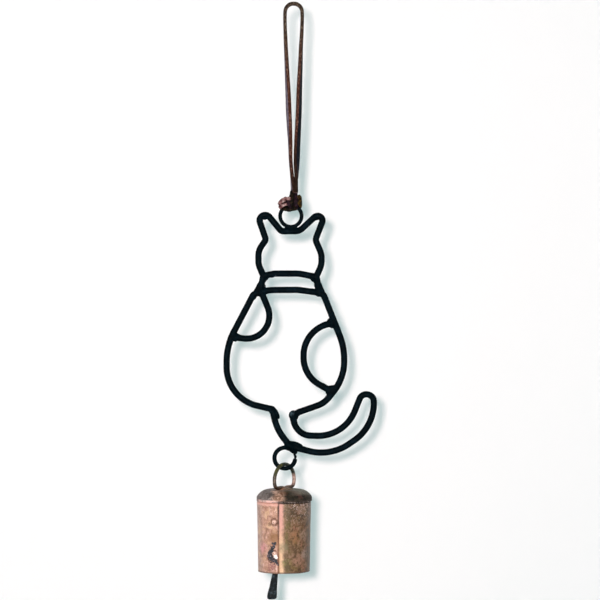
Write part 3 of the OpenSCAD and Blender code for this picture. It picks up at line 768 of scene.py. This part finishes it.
strap_piece("knot_wraps", [
    # left strand: down the front, under the ring's wire and up behind
    ([(-0.4, -0.7, -98.4, 0.85, 0.5, 0), (-0.6, -1.5, -100, 0.97, 0.2, 0),
      (-1, -2.5, -102, 1, 0.1, 0.1), (-1.35, -3, -104.6, 1, 0, 0),
      (-2, -2.5, -106.9, 1, 0, 0), (-2.3, -0.5, -108, 1, 0, 0),
      (-2.3, 1.6, -107.4, 1, 0, 0), (-2, 2.7, -105.2, 1, 0, 0),
      (-1.5, 2.4, -102.6, 1, 0, 0), (-0.6, 1.3, -100, 1, 0, 0)], 2.7, 1.7, 1, 0),
    # right strand: the same on the other side
    ([(0.9, -0.4, -98.6, 0.85, 0.5, 0), (1, -1.2, -100.2, 0.97, -0.2, 0),
      (1.2, -2.3, -102.2, 1, -0.1, 0), (1.3, -2.8, -104.6, 1, 0, 0),
      (1.1, -2, -106.4, 1, 0, 0), (0.9, -0.3, -107.3, 1, 0, 0),
      (0.9, 1.5, -106.9, 1, 0, 0), (1, 2.5, -104.8, 1, 0, 0),
      (0.9, 2.2, -102.4, 1, 0, 0), (0.6, 1.2, -100.2, 1, 0, 0)], 2.7, 1.6, 2, 1),
    # the turn under the cut ends, near black as painted shade under them
    ([(0.8, -2.9, -107, 0, 0.5, 0.85), (-1.6, -3.3, -107.4, 0, 0.5, 0.85),
      (-4, -2.9, -107.3, 0, 0.5, 0.85), (-5.9, -1.8, -106.7, 0.3, 0.3, 0.85),
      (-6.3, 0.1, -106, 0.4, 0, 0.9), (-4.6, 1.9, -105.4, 0.2, -0.4, 0.9),
      (-2, 2.9, -105, 0, -0.4, 0.9)], 2.7, 1.8, 7, 0),
    # the turn inside the bundle, near black as painted shade between the ends
    ([(-1.2, -2.2, -103.2, 0, 0.2, 1), (-3.4, -2.5, -103.5, 0, 0.2, 1),
      (-5.4, -2.2, -104.4, 0, 0.2, 1), (-6.7, -1.2, -105, 0.2, 0.2, 1),
      (-6.4, 0.4, -104.6, 0.3, 0, 1), (-4.4, 1.7, -103.8, 0.1, -0.2, 1),
      (-1.8, 2.4, -103.4, 0, -0.2, 1)], 3.4, 1.8, 9, 0)],
    [KNOT_DARK_SHADE, KNOT_PLUM], ["lace_knot"])
strap_piece("knot_bight", [
    # the turn that bulges at the right and goes behind
    ([(1.7, -1.9, -101.6, 0.3, 0.2, 1), (3, -2, -102.9, 0.2, 0.4, 1),
      (3.8, -0.9, -104.1, 0, 0.3, 1), (3.7, 0.9, -104.5, 0, 0, 1),
      (2.8, 2.5, -104.4, 0, -0.2, 1), (0.9, 3.4, -103.9, 0, -0.2, 1),
      (-1.4, 3.5, -103.2, 0, -0.2, 1)], 4.9, 1.6, 3, 0),
    # the strand that crosses the front, from upper left to lower right
    ([(-4.3, -2.6, -101.6, 0.9, 0.3, 0.4), (-3.5, -3.6, -102.8, 0.9, 0.2, 0.4),
      (-2.5, -4.2, -104.8, 0.95, 0.1, 0.3), (-1.5, -3.9, -106.8, 0.95, 0, 0.3)], 1.7, 1.3, 4, 1)],
    [KNOT_OLIVE, KNOT_PLUM])
strap_piece("knot_ends", [
    ([(-2, -2.9, -102.2, 0.2, 0.3, 0.95), (-3.6, -3.5, -102.3, 0.2, 0.3, 0.95),
      (-5.2, -3.6, -102.8, -0.1, 0.3, 0.95), (-6.4, -3.5, -103.7, -0.5, 0.2, 0.85),
      (-7.1, -3.3, -104.9, -0.8, 0.2, 0.6)], 2.2, 1.9, 5, 0),
    ([(-2.9, -3.3, -104.7, 0.4, 0.2, 0.9), (-4.2, -3.9, -105.1, 0.3, 0.2, 0.95),
      (-5.6, -3.8, -105.7, 0.2, 0.2, 0.95), (-7, -3.4, -106.6, 0, 0.2, 0.95)],
     1.6, 1.8, 6, 0)],
    [LACE_END], ["lace_ends"], "cut_leather")


# ---- the iron figure

# Rod corners in thousandths of the figure's width and height: x, z and bend radius
HEAD = [(-262, -283, 0), (-233, -208, 26), (-275, -156, 160), (-275, -89, 150), (-211, -40, 36),
        (-279, 68, 46), (-200, 79, 46), (-82, 0, 35), (73, 1, 85), (220, 76, 40), (279, 61, 40),
        (208, -40, 50), (260, -107, 150), (260, -159, 160), (216, -211, 26), (240, -283, 0)]
UPPER_BAR = [(-233, -210, 0), (-150, -198, 250), (70, -198, 250), (216, -214, 0)]
LOWER_BAR = [(-262, -286, 0), (-180, -275, 250), (60, -274, 250), (240, -287, 0)]
BODY_LEFT = [(-262, -284, 0), (-318, -296, 35), (-545, -535, 560),
             (-545, -783, 335), (-157, -832, 0)]
BODY_RIGHT = [(240, -284, 0), (280, -300, 35), (452, -541, 540), (452, -686, 400), (283, -804, 200),
              (60, -847, 45), (18, -869, 0)]
LEFT_SPOT = [(-250, -285, 0), (-183, -374, 200), (-183, -518, 193), (-471, -496, 0)]
RIGHT_SPOT = [(339, -431, 0), (109, -460, 272), (107, -676, 260), (334, -745, 0)]
TAIL = [(17, -872, 0), (55, -954, 150), (455, -960, 335), (602, -758, 60), (703, -768, 60),
        (706, -914, 385), (336, -1054, 420), (-10, -1004, 45), (-118, -925, 400), (-150, -849, 0)]

for number, (name, shares, node) in enumerate([
        ("head_rod", HEAD, "head_wire"), ("collar_rod_upper", UPPER_BAR, "collar_upper_bar"),
        ("collar_rod_lower", LOWER_BAR, "collar_lower_bar"),
        ("body_rod_left", BODY_LEFT, "body_left_wire"),
        ("body_rod_right", BODY_RIGHT, "body_right_wire"),
        ("spot_rod_left", LEFT_SPOT, "left_spot_wire"),
        ("spot_rod_right", RIGHT_SPOT, "right_spot_wire"), ("tail_rod", TAIL, "tail_wire")]):
    rod_piece(name, bent(shares, 0.6), node, number * 4.7, sides=24)


def circle(cx, cz, d, start, end):
    """Points round a ring, from one angle in degrees to another."""
    count = max(3, int(abs(end - start) / 4))
    angles = [radians(start + (end - start) * k / count) for k in range(count + 1)]
    return [Vector((cx + d / 2 * cos(a), 0, cz + d / 2 * sin(a))) for a in angles]


rod_piece("top_ring_wire", circle(*TOP_RING, 0, 360)[:-1], "top_ring", 51, 2.05, closed=True,
          lump=0.03)
rod_piece("foot_ring_wire", circle(*FOOT_RING, 94, 352), "foot_ring", 55, 2.35, lump=0.03)


def bead(x, y, r, wide=1, deep=1, high=1, turn=0):
    """A bead of weld metal where it is seen in the picture."""
    return px(x, y), r, (wide, deep, high), turn


def knob(x, z, r=0, wide=1, deep=1, high=1):
    """A bead at a place in the figure."""
    x, z = in_figure(x, z)
    return (x, 0, z), r, (wide, deep, high), 0


def stub(shares, x, z, reach, grow=1.03):
    """A short length of a rod round a joint, a little thicker, for the weld metal to run into."""
    centre = Vector(knob(x, z)[0])
    return [p for p in bent(shares, 0.35) if (p - centre).length < reach], ROD_D / 2 * grow


def line(r, *places):
    """A straight run of weld metal between places in the picture."""
    return [Vector(px(*place)) for place in places], r


collar = [
    # upper left, with the drips under the bar
    stub(HEAD, -233, -209, 3.2), stub(UPPER_BAR, -233, -209, 3.4),
    knob(-229, -210, 1.8, 1, 0.95, 1.1), bead(265.4, 278.4, 1.35, 1.2, 0.9, 0.9),
    bead(271.6, 276.6, 0.95, 1.7, 0.8, 0.7),
    # lower left: the neck is filled to a straight edge
    stub(HEAD, -262, -286, 2.8), stub(LOWER_BAR, -262, -286, 4.4), stub(BODY_LEFT, -262, -286, 6),
    stub(LEFT_SPOT, -262, -286, 4.4), line(1.55, (262.9, 280.4), (258.1, 288.9), (253.4, 297.3)),
    knob(-262, -286, 2.3, 1, 0.85, 1), bead(261.4, 291.8, 2, 1.2, 0.8, 1),
    bead(258.8, 286, 1.55, 0.8, 0.85, 1.5, 28), bead(262.2, 281.2, 1.6, 1.1, 0.85, 1.2),
    bead(262.6, 286.4, 1.75, 1, 0.8, 1), bead(264.6, 279.8, 1.2, 1, 0.8, 1),
    # upper right
    stub(HEAD, 216, -212, 3.2), stub(UPPER_BAR, 216, -214, 3.8), knob(212, -213, 1.8, 1.1, 0.95, 1),
    bead(309.2, 277, 0.9, 2, 0.8, 0.7, 8), bead(316, 281.6, 1.45, 0.9, 0.85, 1.5, -14),
    bead(313.4, 279.6, 1.3, 1.1, 0.8, 1),
    # lower right
    stub(HEAD, 240, -287, 3.4), stub(LOWER_BAR, 240, -287, 4.4), stub(BODY_RIGHT, 240, -287, 5.4),
    line(1.5, (317.9, 282), (320.2, 287.6), (323.2, 294.6)), knob(238, -288, 2.15, 1, 0.85, 1),
    bead(318.4, 291.2, 1.6, 1.5, 0.8, 0.9, 30), bead(316.6, 285.4, 1.5, 0.9, 0.85, 1.2)]
body = [
    # the left spot's end
    stub(LEFT_SPOT, -486, -496, 4.2), stub(BODY_LEFT, -505, -496, 3.8),
    knob(-486, -496, 1.85, 1.1, 0.9, 1.1), bead(236.8, 335.4, 1.2, 1.3, 0.85, 0.9, -10),
    bead(235.4, 339, 1.2, 1, 0.85, 1.3),
    # the right spot's upper end, with the small beads beside it
    stub(RIGHT_SPOT, 349, -430, 5.4), stub(BODY_RIGHT, 372, -430, 5.2),
    knob(349, -430, 1.9, 1.1, 0.85, 1), bead(330.4, 321, 1.6, 1.4, 0.85, 1, -35),
    bead(331.6, 325.4, 1.4, 1.2, 0.85, 1.1, 40), bead(328.4, 326.2, 0.75), bead(325.4, 325.8, 0.6),
    # the right spot's lower end, with its web
    stub(RIGHT_SPOT, 338, -746, 5.4), stub(BODY_RIGHT, 352, -746, 5.8),
    knob(338, -746, 2.1, 1, 0.85, 1), bead(329.6, 391.4, 2.1, 1, 0.85, 1.1, 35),
    line(1.45, (322.5, 385.4), (327.5, 388.4), (334.5, 387.6)), bead(332.2, 389, 1.7, 1.2, 0.85, 1),
    # the rump at the right, where the tail starts
    stub(BODY_RIGHT, 20, -866, 4.6), stub(TAIL, 20, -866, 4.4), knob(23, -860, 2.65, 1, 0.9, 1),
    bead(298.4, 411.2, 0.8, 1.3, 0.9, 0.8), bead(296.2, 417, 1.2, 1, 0.85, 1.2),
    # the rump at the left
    stub(BODY_LEFT, -154, -840, 4.2), stub(TAIL, -152, -848, 5.4), knob(-154, -842, 1.9, 1, 0.9, 1),
    bead(276, 413, 1.62, 0.85, 0.85, 2.2, -28)]
rings = [
    # under the top ring
    stub(HEAD, -5, 0, 5, 1.02), (circle(*TOP_RING, 232, 308), 0.95),
    knob(-30, 20, 1.3, 1.1, 0.8, 1), knob(0, 16, 1.45, 1.6, 0.8, 1), knob(30, 20, 1.3, 1.1, 0.8, 1),
    # the tail's foot and the ring below it
    stub(TAIL, -10, -1003, 8.2), (circle(*FOOT_RING, 40, 128), 1.14),
    knob(-10, -1003, 2.9, 1.05, 0.85, 0.95), bead(296.4, 444.6, 1.8, 2.1, 0.85, 0.8, 20),
    bead(292, 448, 1.5, 1.4, 0.8, 0.9), bead(287, 441.8, 1.85, 0.9, 0.8, 1.5, -30),
    bead(295.8, 451.4, 1.05, 0.9, 0.8, 1.5), bead(290.2, 445.2, 2.3, 1.35, 0.8, 1),
    bead(294.6, 447, 1.7, 1.3, 0.8, 0.9), (circle(*FOOT_RING, 40, -3), 0.62),
    bead(295.9, 456.6, 0.62, 0.9, 0.8, 1.2)]
# paint that has gathered inside the ears' tight bends
ears = [stub(HEAD, -254, 62, 5, 1.01), stub(HEAD, 232, 62, 5, 1.01),
        bead(264.6, 216.6, 1.5, 1.3, 0.85, 1.2), bead(316.4, 217.2, 1.5, 1.3, 0.85, 1.2)]
for name, parts, nodes, slot, material, seed in (
        ("collar_weld_metal", collar, ["collar_welds"], "weld_metal", WELD, 1.3),
        ("body_weld_metal", body, ["body_welds"], "weld_metal", WELD, 5.1),
        ("ring_weld_metal", rings, ["ring_welds"], "weld_metal", WELD, 8.8),
        ("ear_paint", ears, [], "black_iron", IRON, 4.2)):
    melted(name, parts, 0.16, 12, "figure", slot, material, nodes, seed=seed)


# ---- the bail

def in_bail(x, z):
    """A place in the bail's own plane, turned about the bell's axis."""
    return Vector((BELL_X + x * cos(BAIL_TURN), x * sin(BAIL_TURN), BAIL_Z + z))


# the round top, the feet and neck at the crown, and the loop inside for the clapper
BAIL_D, TOP_R, TOP_BEND = 2, 8.3, 34
LEG_X, FOOT_Z, FOOT_R, NECK_X, NECK_R = 7.646, -3.9, 2.6, 0.9, 1.2
LOOP_X, LOOP_Z = 2.8, -14.7
apex = TOP_R / cos(radians(TOP_BEND))
top = [(apex * cos(a), apex * sin(a), TOP_R)
       for a in (radians(90 + k * TOP_BEND) for k in (2, 0, -2))]
flare, shoulder_z = LOOP_Z + 2 * LOOP_X * 1.14, LOOP_Z + 2 * LOOP_X * 0.72
bail_corners = ([(LOOP_X, LOOP_Z + 2 * LOOP_X * 0.6, 0), (LOOP_X, LOOP_Z, 2.8),
                 (-LOOP_X, LOOP_Z, 2.8), (-LOOP_X, shoulder_z, NECK_R),
                 (-NECK_X, flare, NECK_R), (-NECK_X, FOOT_Z, NECK_R), (-LEG_X, FOOT_Z, FOOT_R)]
                + top + [(LEG_X, FOOT_Z, FOOT_R), (NECK_X, FOOT_Z, NECK_R),
                         (NECK_X, flare, NECK_R), (LOOP_X, shoulder_z, 0)])
bm = bmesh.new()
add_tube(bm, [in_bail(p.x, p.z) for p in bent_wire(bail_corners, 0.4)], BAIL_D / 2, sides=18,
         lump=0.04, size=1.8, seed=21, normal=Vector((-sin(BAIL_TURN), cos(BAIL_TURN), 0)))
finish_piece("bail_wire_loop", bm, "bell", "bail_wire", [BAIL], ["bell_bail"])


def poured(p, a, r):
    """The uneven edge and top of the braze."""
    up = 0.3 * wobble(p, 1.7, 4) if p.z > CROWN_Z + 0.03 else 0
    out = r * 0.12 * wobble((cos(a) * 2, sin(a) * 2, 0), 1, 9)
    return p + Vector((out * cos(a), out * sin(a), up))


bm = bmesh.new()
add_lathe(bm, finer([(r, CROWN_Z + z) for r, z in (
    (0, 1.35), (0.9, 1.32), (2.2, 0.95), (3.6, 0.4), (4.5, 0.06), (4.55, -0.05), (0, -0.05))],
    0.3), 72, poured, BELL_X)
finish_piece("bail_braze_metal", bm, "bell", "braze", [BRAZE], ["bail_braze"])


# ---- the bell

SHEET, MEAN_R = 0.5, 13
CROWN_R, FLAT_R, SHOULDER_R = 14.7, 8.303, 7.1


def dents(a, z, deep):
    """How far the beaten sheet stands in at a place, always inwards."""
    p = (MEAN_R * cos(a), MEAN_R * sin(a), z)
    return -deep * (0.5 + 0.5 * wobble(p, 7, 2.2)) - 0.3 * deep * (0.5 + 0.5 * wobble(p, 2.2, 6.1))


def shoulder(r, angles, limit):
    """The crown's round shoulder, as far out as the limit."""
    points = [(FLAT_R + r * sin(radians(t)), -SHOULDER_R + r * cos(radians(t))) for t in angles]
    return [p for p in points if p[0] < limit]


def beaten(p, a, r):
    """The crown's dents, and its wavy rim."""
    depth = dents(a, p.z - CROWN_Z + r, 0.22)
    out = Vector((cos(a), sin(a), 0)) * min(1, r / 12) + Vector((0, 0, max(0, 1 - r / 12)))
    rim = 0.16 * wobble((9 * cos(a), 9 * sin(a), 0), 4, 3) if p.z < CROWN_Z - 5.2 else 0
    return p + out * depth + Vector((0, 0, rim))


outer = ([(r, 0) for r in (0.3, 2.4, 4.4, 6.4)]
         + shoulder(SHOULDER_R, range(0, 65, 4), CROWN_R - 0.05)
         + [(CROWN_R, z) for z in (-4.02, -4.6, -5.3, -5.85)] + [(CROWN_R - 0.12, -6)])
inner = ([(CROWN_R - SHEET, -5.98), (CROWN_R - SHEET, -4.3)]
         + shoulder(SHOULDER_R - SHEET, range(60, -1, -5), CROWN_R - SHEET)
         + [(4.4, -SHEET), (0.3, -SHEET)])
bm = bmesh.new()
add_lathe(bm, [(r, CROWN_Z + z) for r, z in outer + inner], 144, beaten, BELL_X, capped=False)
finish_piece("bell_crown_cap", bm, "bell", "crown_sheet", [CROWN], ["bell_crown"], sharp=60)

# The barrel: one sheet rolled through a turn and a lap, its free edge at the front
LAP_STEP, LAP, LAP_EDGE = 0.55, 22, LAP_START + pi
WALL_TOP, WALL_END = (14.2, -6.55), (13.5, -BELL_H)
WALL_SLOPE = 0.7 / 36.35
WALL_COLUMNS = 150
SPRUNG = 12   # degrees of the free edge that stand off a little
wall = finer([(13.6, -4.52), (13.6, -6.05), WALL_TOP, WALL_END], 0.75)


def rolled(degree, r, z):
    """Radius, angle and height of a point on the outer face, whose free edge is at 180 degrees."""
    a = radians(degree)
    step = LAP_STEP / 2 if degree >= 0 else 0
    x, y = (r + step) * cos(a) - step, (r + step) * sin(a)
    turn = atan2(y, x) + LAP_EDGE
    rr = hypot(x, y) + dents(turn, z, 0.2)
    if degree > 180 - SPRUNG:
        sprung = ((degree - 180) / SPRUNG + 1) ** 2
        rr += 0.2 * sprung * (0.6 + 0.4 * wobble((0, 0, z), 6, 12))
        turn += 0.012 * sprung * wobble((0, 0, z), 3.5, 15)
    rag = 0.22 * wobble((8 * cos(turn), 8 * sin(turn), 0), 5, 7) if z < -42.5 else 0
    return rr, turn, z + rag


bm = bmesh.new()
columns = []
for i in range(WALL_COLUMNS + 1):
    column = []
    for inset, points in ((0, wall), (SHEET, wall[::-1])):
        for r, z in points:
            rr, turn, zz = rolled(180 - (360 + LAP) * i / WALL_COLUMNS, r, z)
            rr -= inset
            column.append(bm.verts.new((BELL_X + rr * cos(turn), rr * sin(turn), CROWN_Z + zz)))
    columns.append(column)
for a, b in zip(columns, columns[1:]):
    skin(bm, a, b)
for column in (columns[0], columns[-1]):
    for k in range(len(wall) - 1):
        bm.faces.new((column[k], column[k + 1], column[-2 - k], column[-1 - k]))
finish_piece("bell_barrel_sheet", bm, "bell", "barrel_sheet", [BARREL], ["bell_barrel"], sharp=45)


def lap_radius(h):
    """The radius of the barrel's outer layer at a height below the crown's top."""
    return WALL_TOP[0] + WALL_SLOPE * (h - WALL_TOP[1]) + LAP_STEP


def on_wall(x, y, lift=0):
    """The place on the barrel's outer layer that is seen at a place in the photograph."""
    place = CAMERA + (Vector(px(x, y)) - CAMERA) * (1 + WALL_END[0] / CAMERA.y)
    h = place.z - CROWN_Z
    r = lap_radius(h) + lift
    a = -acos(max(-1, min(1, (place.x - BELL_X) / r)))
    r += dents(a, h, 0.2)
    return Vector((BELL_X + r * cos(a), r * sin(a), place.z))


def add_rivet_head(bm, centre, side, up, out):
    """A peened dome: side and up lie in the wall, out leaves it."""
    def peened(p, t, radius):
        spoke = (side * cos(t) + up * sin(t)) * radius
        q = centre + spoke
        return q + spoke * 0.07 * wobble(q, 0.8, 31) + out * p.z * (1 + 0.1 * wobble(q, 0.5, 8))

    add_lathe(bm, [(1.2, 0), (1.2, 0.2), (1.1, 0.42), (0.9, 0.62), (0.6, 0.76), (0.3, 0.82),
                   (0.06, 0.83)], 28, peened)


# the rivets' heads on the seam, outside and in
bm = bmesh.new()
for share in (0.37, 0.755):
    h, a = -BELL_H * share, LAP_EDGE + radians(180 - LAP * 0.38)
    out = Vector((cos(a), sin(a), -WALL_SLOPE)).normalized()
    side = Vector((-sin(a), cos(a), 0))
    for sign, sunk in ((1, 0.15), (-1, 1.1)):
        base = lap_radius(h) - sunk
        centre = Vector((BELL_X + base * cos(a), base * sin(a), CROWN_Z + h))
        add_rivet_head(bm, centre, side, out.cross(side), out * sign)
finish_piece("seam_rivet_heads", bm, "bell", "rivet_metal", [RIVET], ["seam_rivets"])

# the dark slag round the lower rivet, and the solder beside it, painted near white as a glint
slag_line = [(274.9, 543.4, 0.7), (274.4, 545.2, 0.8), (273.6, 547.2, 0.9), (272.4, 549.4, 1),
             (271, 551.8, 1.15), (270.2, 554.2, 1.35), (270.4, 556.6, 1.45), (271.8, 558.8, 1.3),
             (273.8, 560.4, 1.1), (275.8, 561.8, 0.9), (277.2, 563.4, 0.75), (278.2, 564.8, 0.5)]
slag = [(on_wall(x, y), r, (1, 0.5, 1), 0) for x, y, r in slag_line]
slag += [(on_wall(x, y), r, (1, 0.5, 0.8), turn) for x, y, r, turn in
         ((272.8, 543.6, 0.75, 20), (275.4, 542.6, 0.6, 0), (271, 547, 0.55, 40),
          (268.6, 552.6, 0.6, 0), (267.6, 556.8, 0.7, 30), (269, 559.6, 0.55, 0),
          (271, 562.6, 0.6, -30), (274.6, 564, 0.5, 0), (276.6, 560, 0.6, 20),
          (273.2, 552, 0.5, 0))]
melted("seam_slag", slag, 0.12, 3, "bell", "clapper_iron", SLAG, lump=0.28, size=0.7, seed=3.3)
melted("seam_solder", [(on_wall(275.4, 556, 0.1), 1.15, (0.9, 0.5, 1.1), 0),
                       (on_wall(276.4, 557.6, 0.1), 0.85, (1, 0.5, 1), 0)], 0.1, 3, "bell",
       "rivet_metal", SOLDER_GLINT, lump=0.04, size=0.5, seed=6.6)


# ---- the clapper

LEAN = radians(10)
EYE_R, EYE_Z = 2, -0.14
TIP_Z, TIP_L = -46, 3.2


def on_clapper(x, y, z):
    """A place on the clapper, which leans out of the bail's plane as in the photograph."""
    yy, zz = y * cos(LEAN) - z * sin(LEAN), y * sin(LEAN) + z * cos(LEAN)
    return Vector((BELL_X + x * cos(BAIL_TURN) - yy * sin(BAIL_TURN),
                   x * sin(BAIL_TURN) + yy * cos(BAIL_TURN), PIVOT_Z + zz))


def hammered(p, t, r):
    """Nearly square, with soft corners and flats, and a tip that is cut a little aslant."""
    square = 1 - 0.05 * (1 - cos(4 * t)) * min(1, r / 2)
    rr = r * square * (0.985 + 0.035 * wobble(p, 2.5, 71) + 0.015 * wobble(p, 0.9, 72))
    slant = 0.168 * rr * cos(t + BAIL_TURN) * max(0, TIP_Z - p.z) / TIP_L
    return on_clapper(rr * cos(t), rr * sin(t), p.z + slant)


bm = bmesh.new()
eye = [on_clapper(0, EYE_R * cos(radians(t)), EYE_Z + EYE_R * sin(radians(t)))
       for t in range(0, 360, 9)]
add_tube(bm, eye, 0.76, sides=16, lump=0.04, closed=True, seed=61,
         normal=Vector((cos(BAIL_TURN), sin(BAIL_TURN), 0)))
add_lathe(bm, finer([(0, -2.1), (0.93, -2.15), (1.05, -12), (1.38, -29), (1.52, -34.4),
                     (1.9, -38.5), (2.36, -43.5), (2.85, -47.2), (2.92, -48), (2.7, -48.9),
                     (2.35, -49.15), (0, -49.2)], 0.8), 40, hammered)
finish_piece("clapper_iron_rod", bm, "clapper", "clapper_iron", [CLAPPER], ["clapper"], sharp=60)


# ---- the stage, in metres

def shader(tree, kind, *inputs):
    """A node whose inputs are numbers, colours or the sockets that feed it."""
    made = tree.nodes.new(kind)
    for socket, value in zip(made.inputs, inputs):
        if isinstance(value, (int, float, tuple)):
            socket.default_value = value
        else:
            tree.links.new(value, socket)
    return made.outputs[0] if made.outputs else None


def seen_directly(tree):
    """1 for what the camera sees, also in a reflection or through something clear."""
    paths = tree.nodes.new("ShaderNodeLightPath").outputs
    share = paths["Is Camera Ray"]
    for ray in ("Is Glossy Ray", "Is Transmission Ray"):
        highest = tree.nodes.new("ShaderNodeMath")
        highest.operation = "MAXIMUM"
        tree.links.new(share, highest.inputs[0])
        tree.links.new(paths[ray], highest.inputs[1])
        share = highest.outputs[0]
    return share


def stage_plane(name, size, location, tilt, glow, level):
    """A pale plane, white to the camera and in reflections, that keeps the object's shadow."""
    bpy.ops.mesh.primitive_plane_add(size=size, location=location, rotation=(tilt, 0, 0))
    plane = bpy.context.object
    plane.name = name
    material = bpy.data.materials.new(name)
    material.use_nodes = True
    tree = material.node_tree
    tree.nodes.clear()
    lit = shader(tree, "ShaderNodeAddShader", shader(tree, "ShaderNodeEmission", glow),
                 shader(tree, "ShaderNodeBsdfDiffuse", level))
    front = shader(tree, "ShaderNodeMixShader", seen_directly(tree),
                   shader(tree, "ShaderNodeBsdfDiffuse", (0.8, 0.8, 0.8, 1)), lit)
    back = tree.nodes.new("ShaderNodeNewGeometry").outputs["Backfacing"]
    shader(tree, "ShaderNodeOutputMaterial", shader(
        tree, "ShaderNodeMixShader", back, front, shader(tree, "ShaderNodeBsdfTransparent")))
    plane.data.materials.append(material)


stage_plane("backdrop", 3, (0, 0.16, -0.1), radians(90), (0, 0.206, 0.2, 1),
            (0.945, 0.743, 0.755, 1))
stage_plane("floor", 4, (0, 0, -0.36), 0, (0.35, 0.37, 0.38, 1), (0.62, 0.6, 0.6, 1))

world = bpy.data.worlds.new("studio")
scene.world = world
world.use_nodes = True
tree = world.node_tree
tree.nodes.clear()
shader(tree, "ShaderNodeOutputWorld", shader(
    tree, "ShaderNodeMixShader", seen_directly(tree),
    shader(tree, "ShaderNodeBackground", (0.94, 0.97, 1, 1), 0.16),
    shader(tree, "ShaderNodeBackground", (1, 1, 1, 1), 1)))


def lamp(name, location, size, power, colour, target=(0, 0, -0.16)):
    data = bpy.data.lights.new(name, "AREA")
    data.shape = "DISK"
    data.size = size
    data.energy = power
    data.color = colour
    made = added(name, data)
    made.location = location
    made.rotation_euler = (Vector(target) - Vector(location)).to_track_quat("-Z", "Y").to_euler()


lamp("key", (-0.030, -1.15, -0.126), 0.042, 10.5, (1, 0.99, 0.97), (0, 0, -0.155))
lamp("left_softbox", (-0.9, -0.75, 0.35), 0.8, 3.6, (1, 0.99, 0.97))
lamp("right_fill", (0.9, -0.8, 0), 0.8, 0.8, (0.93, 0.97, 1))
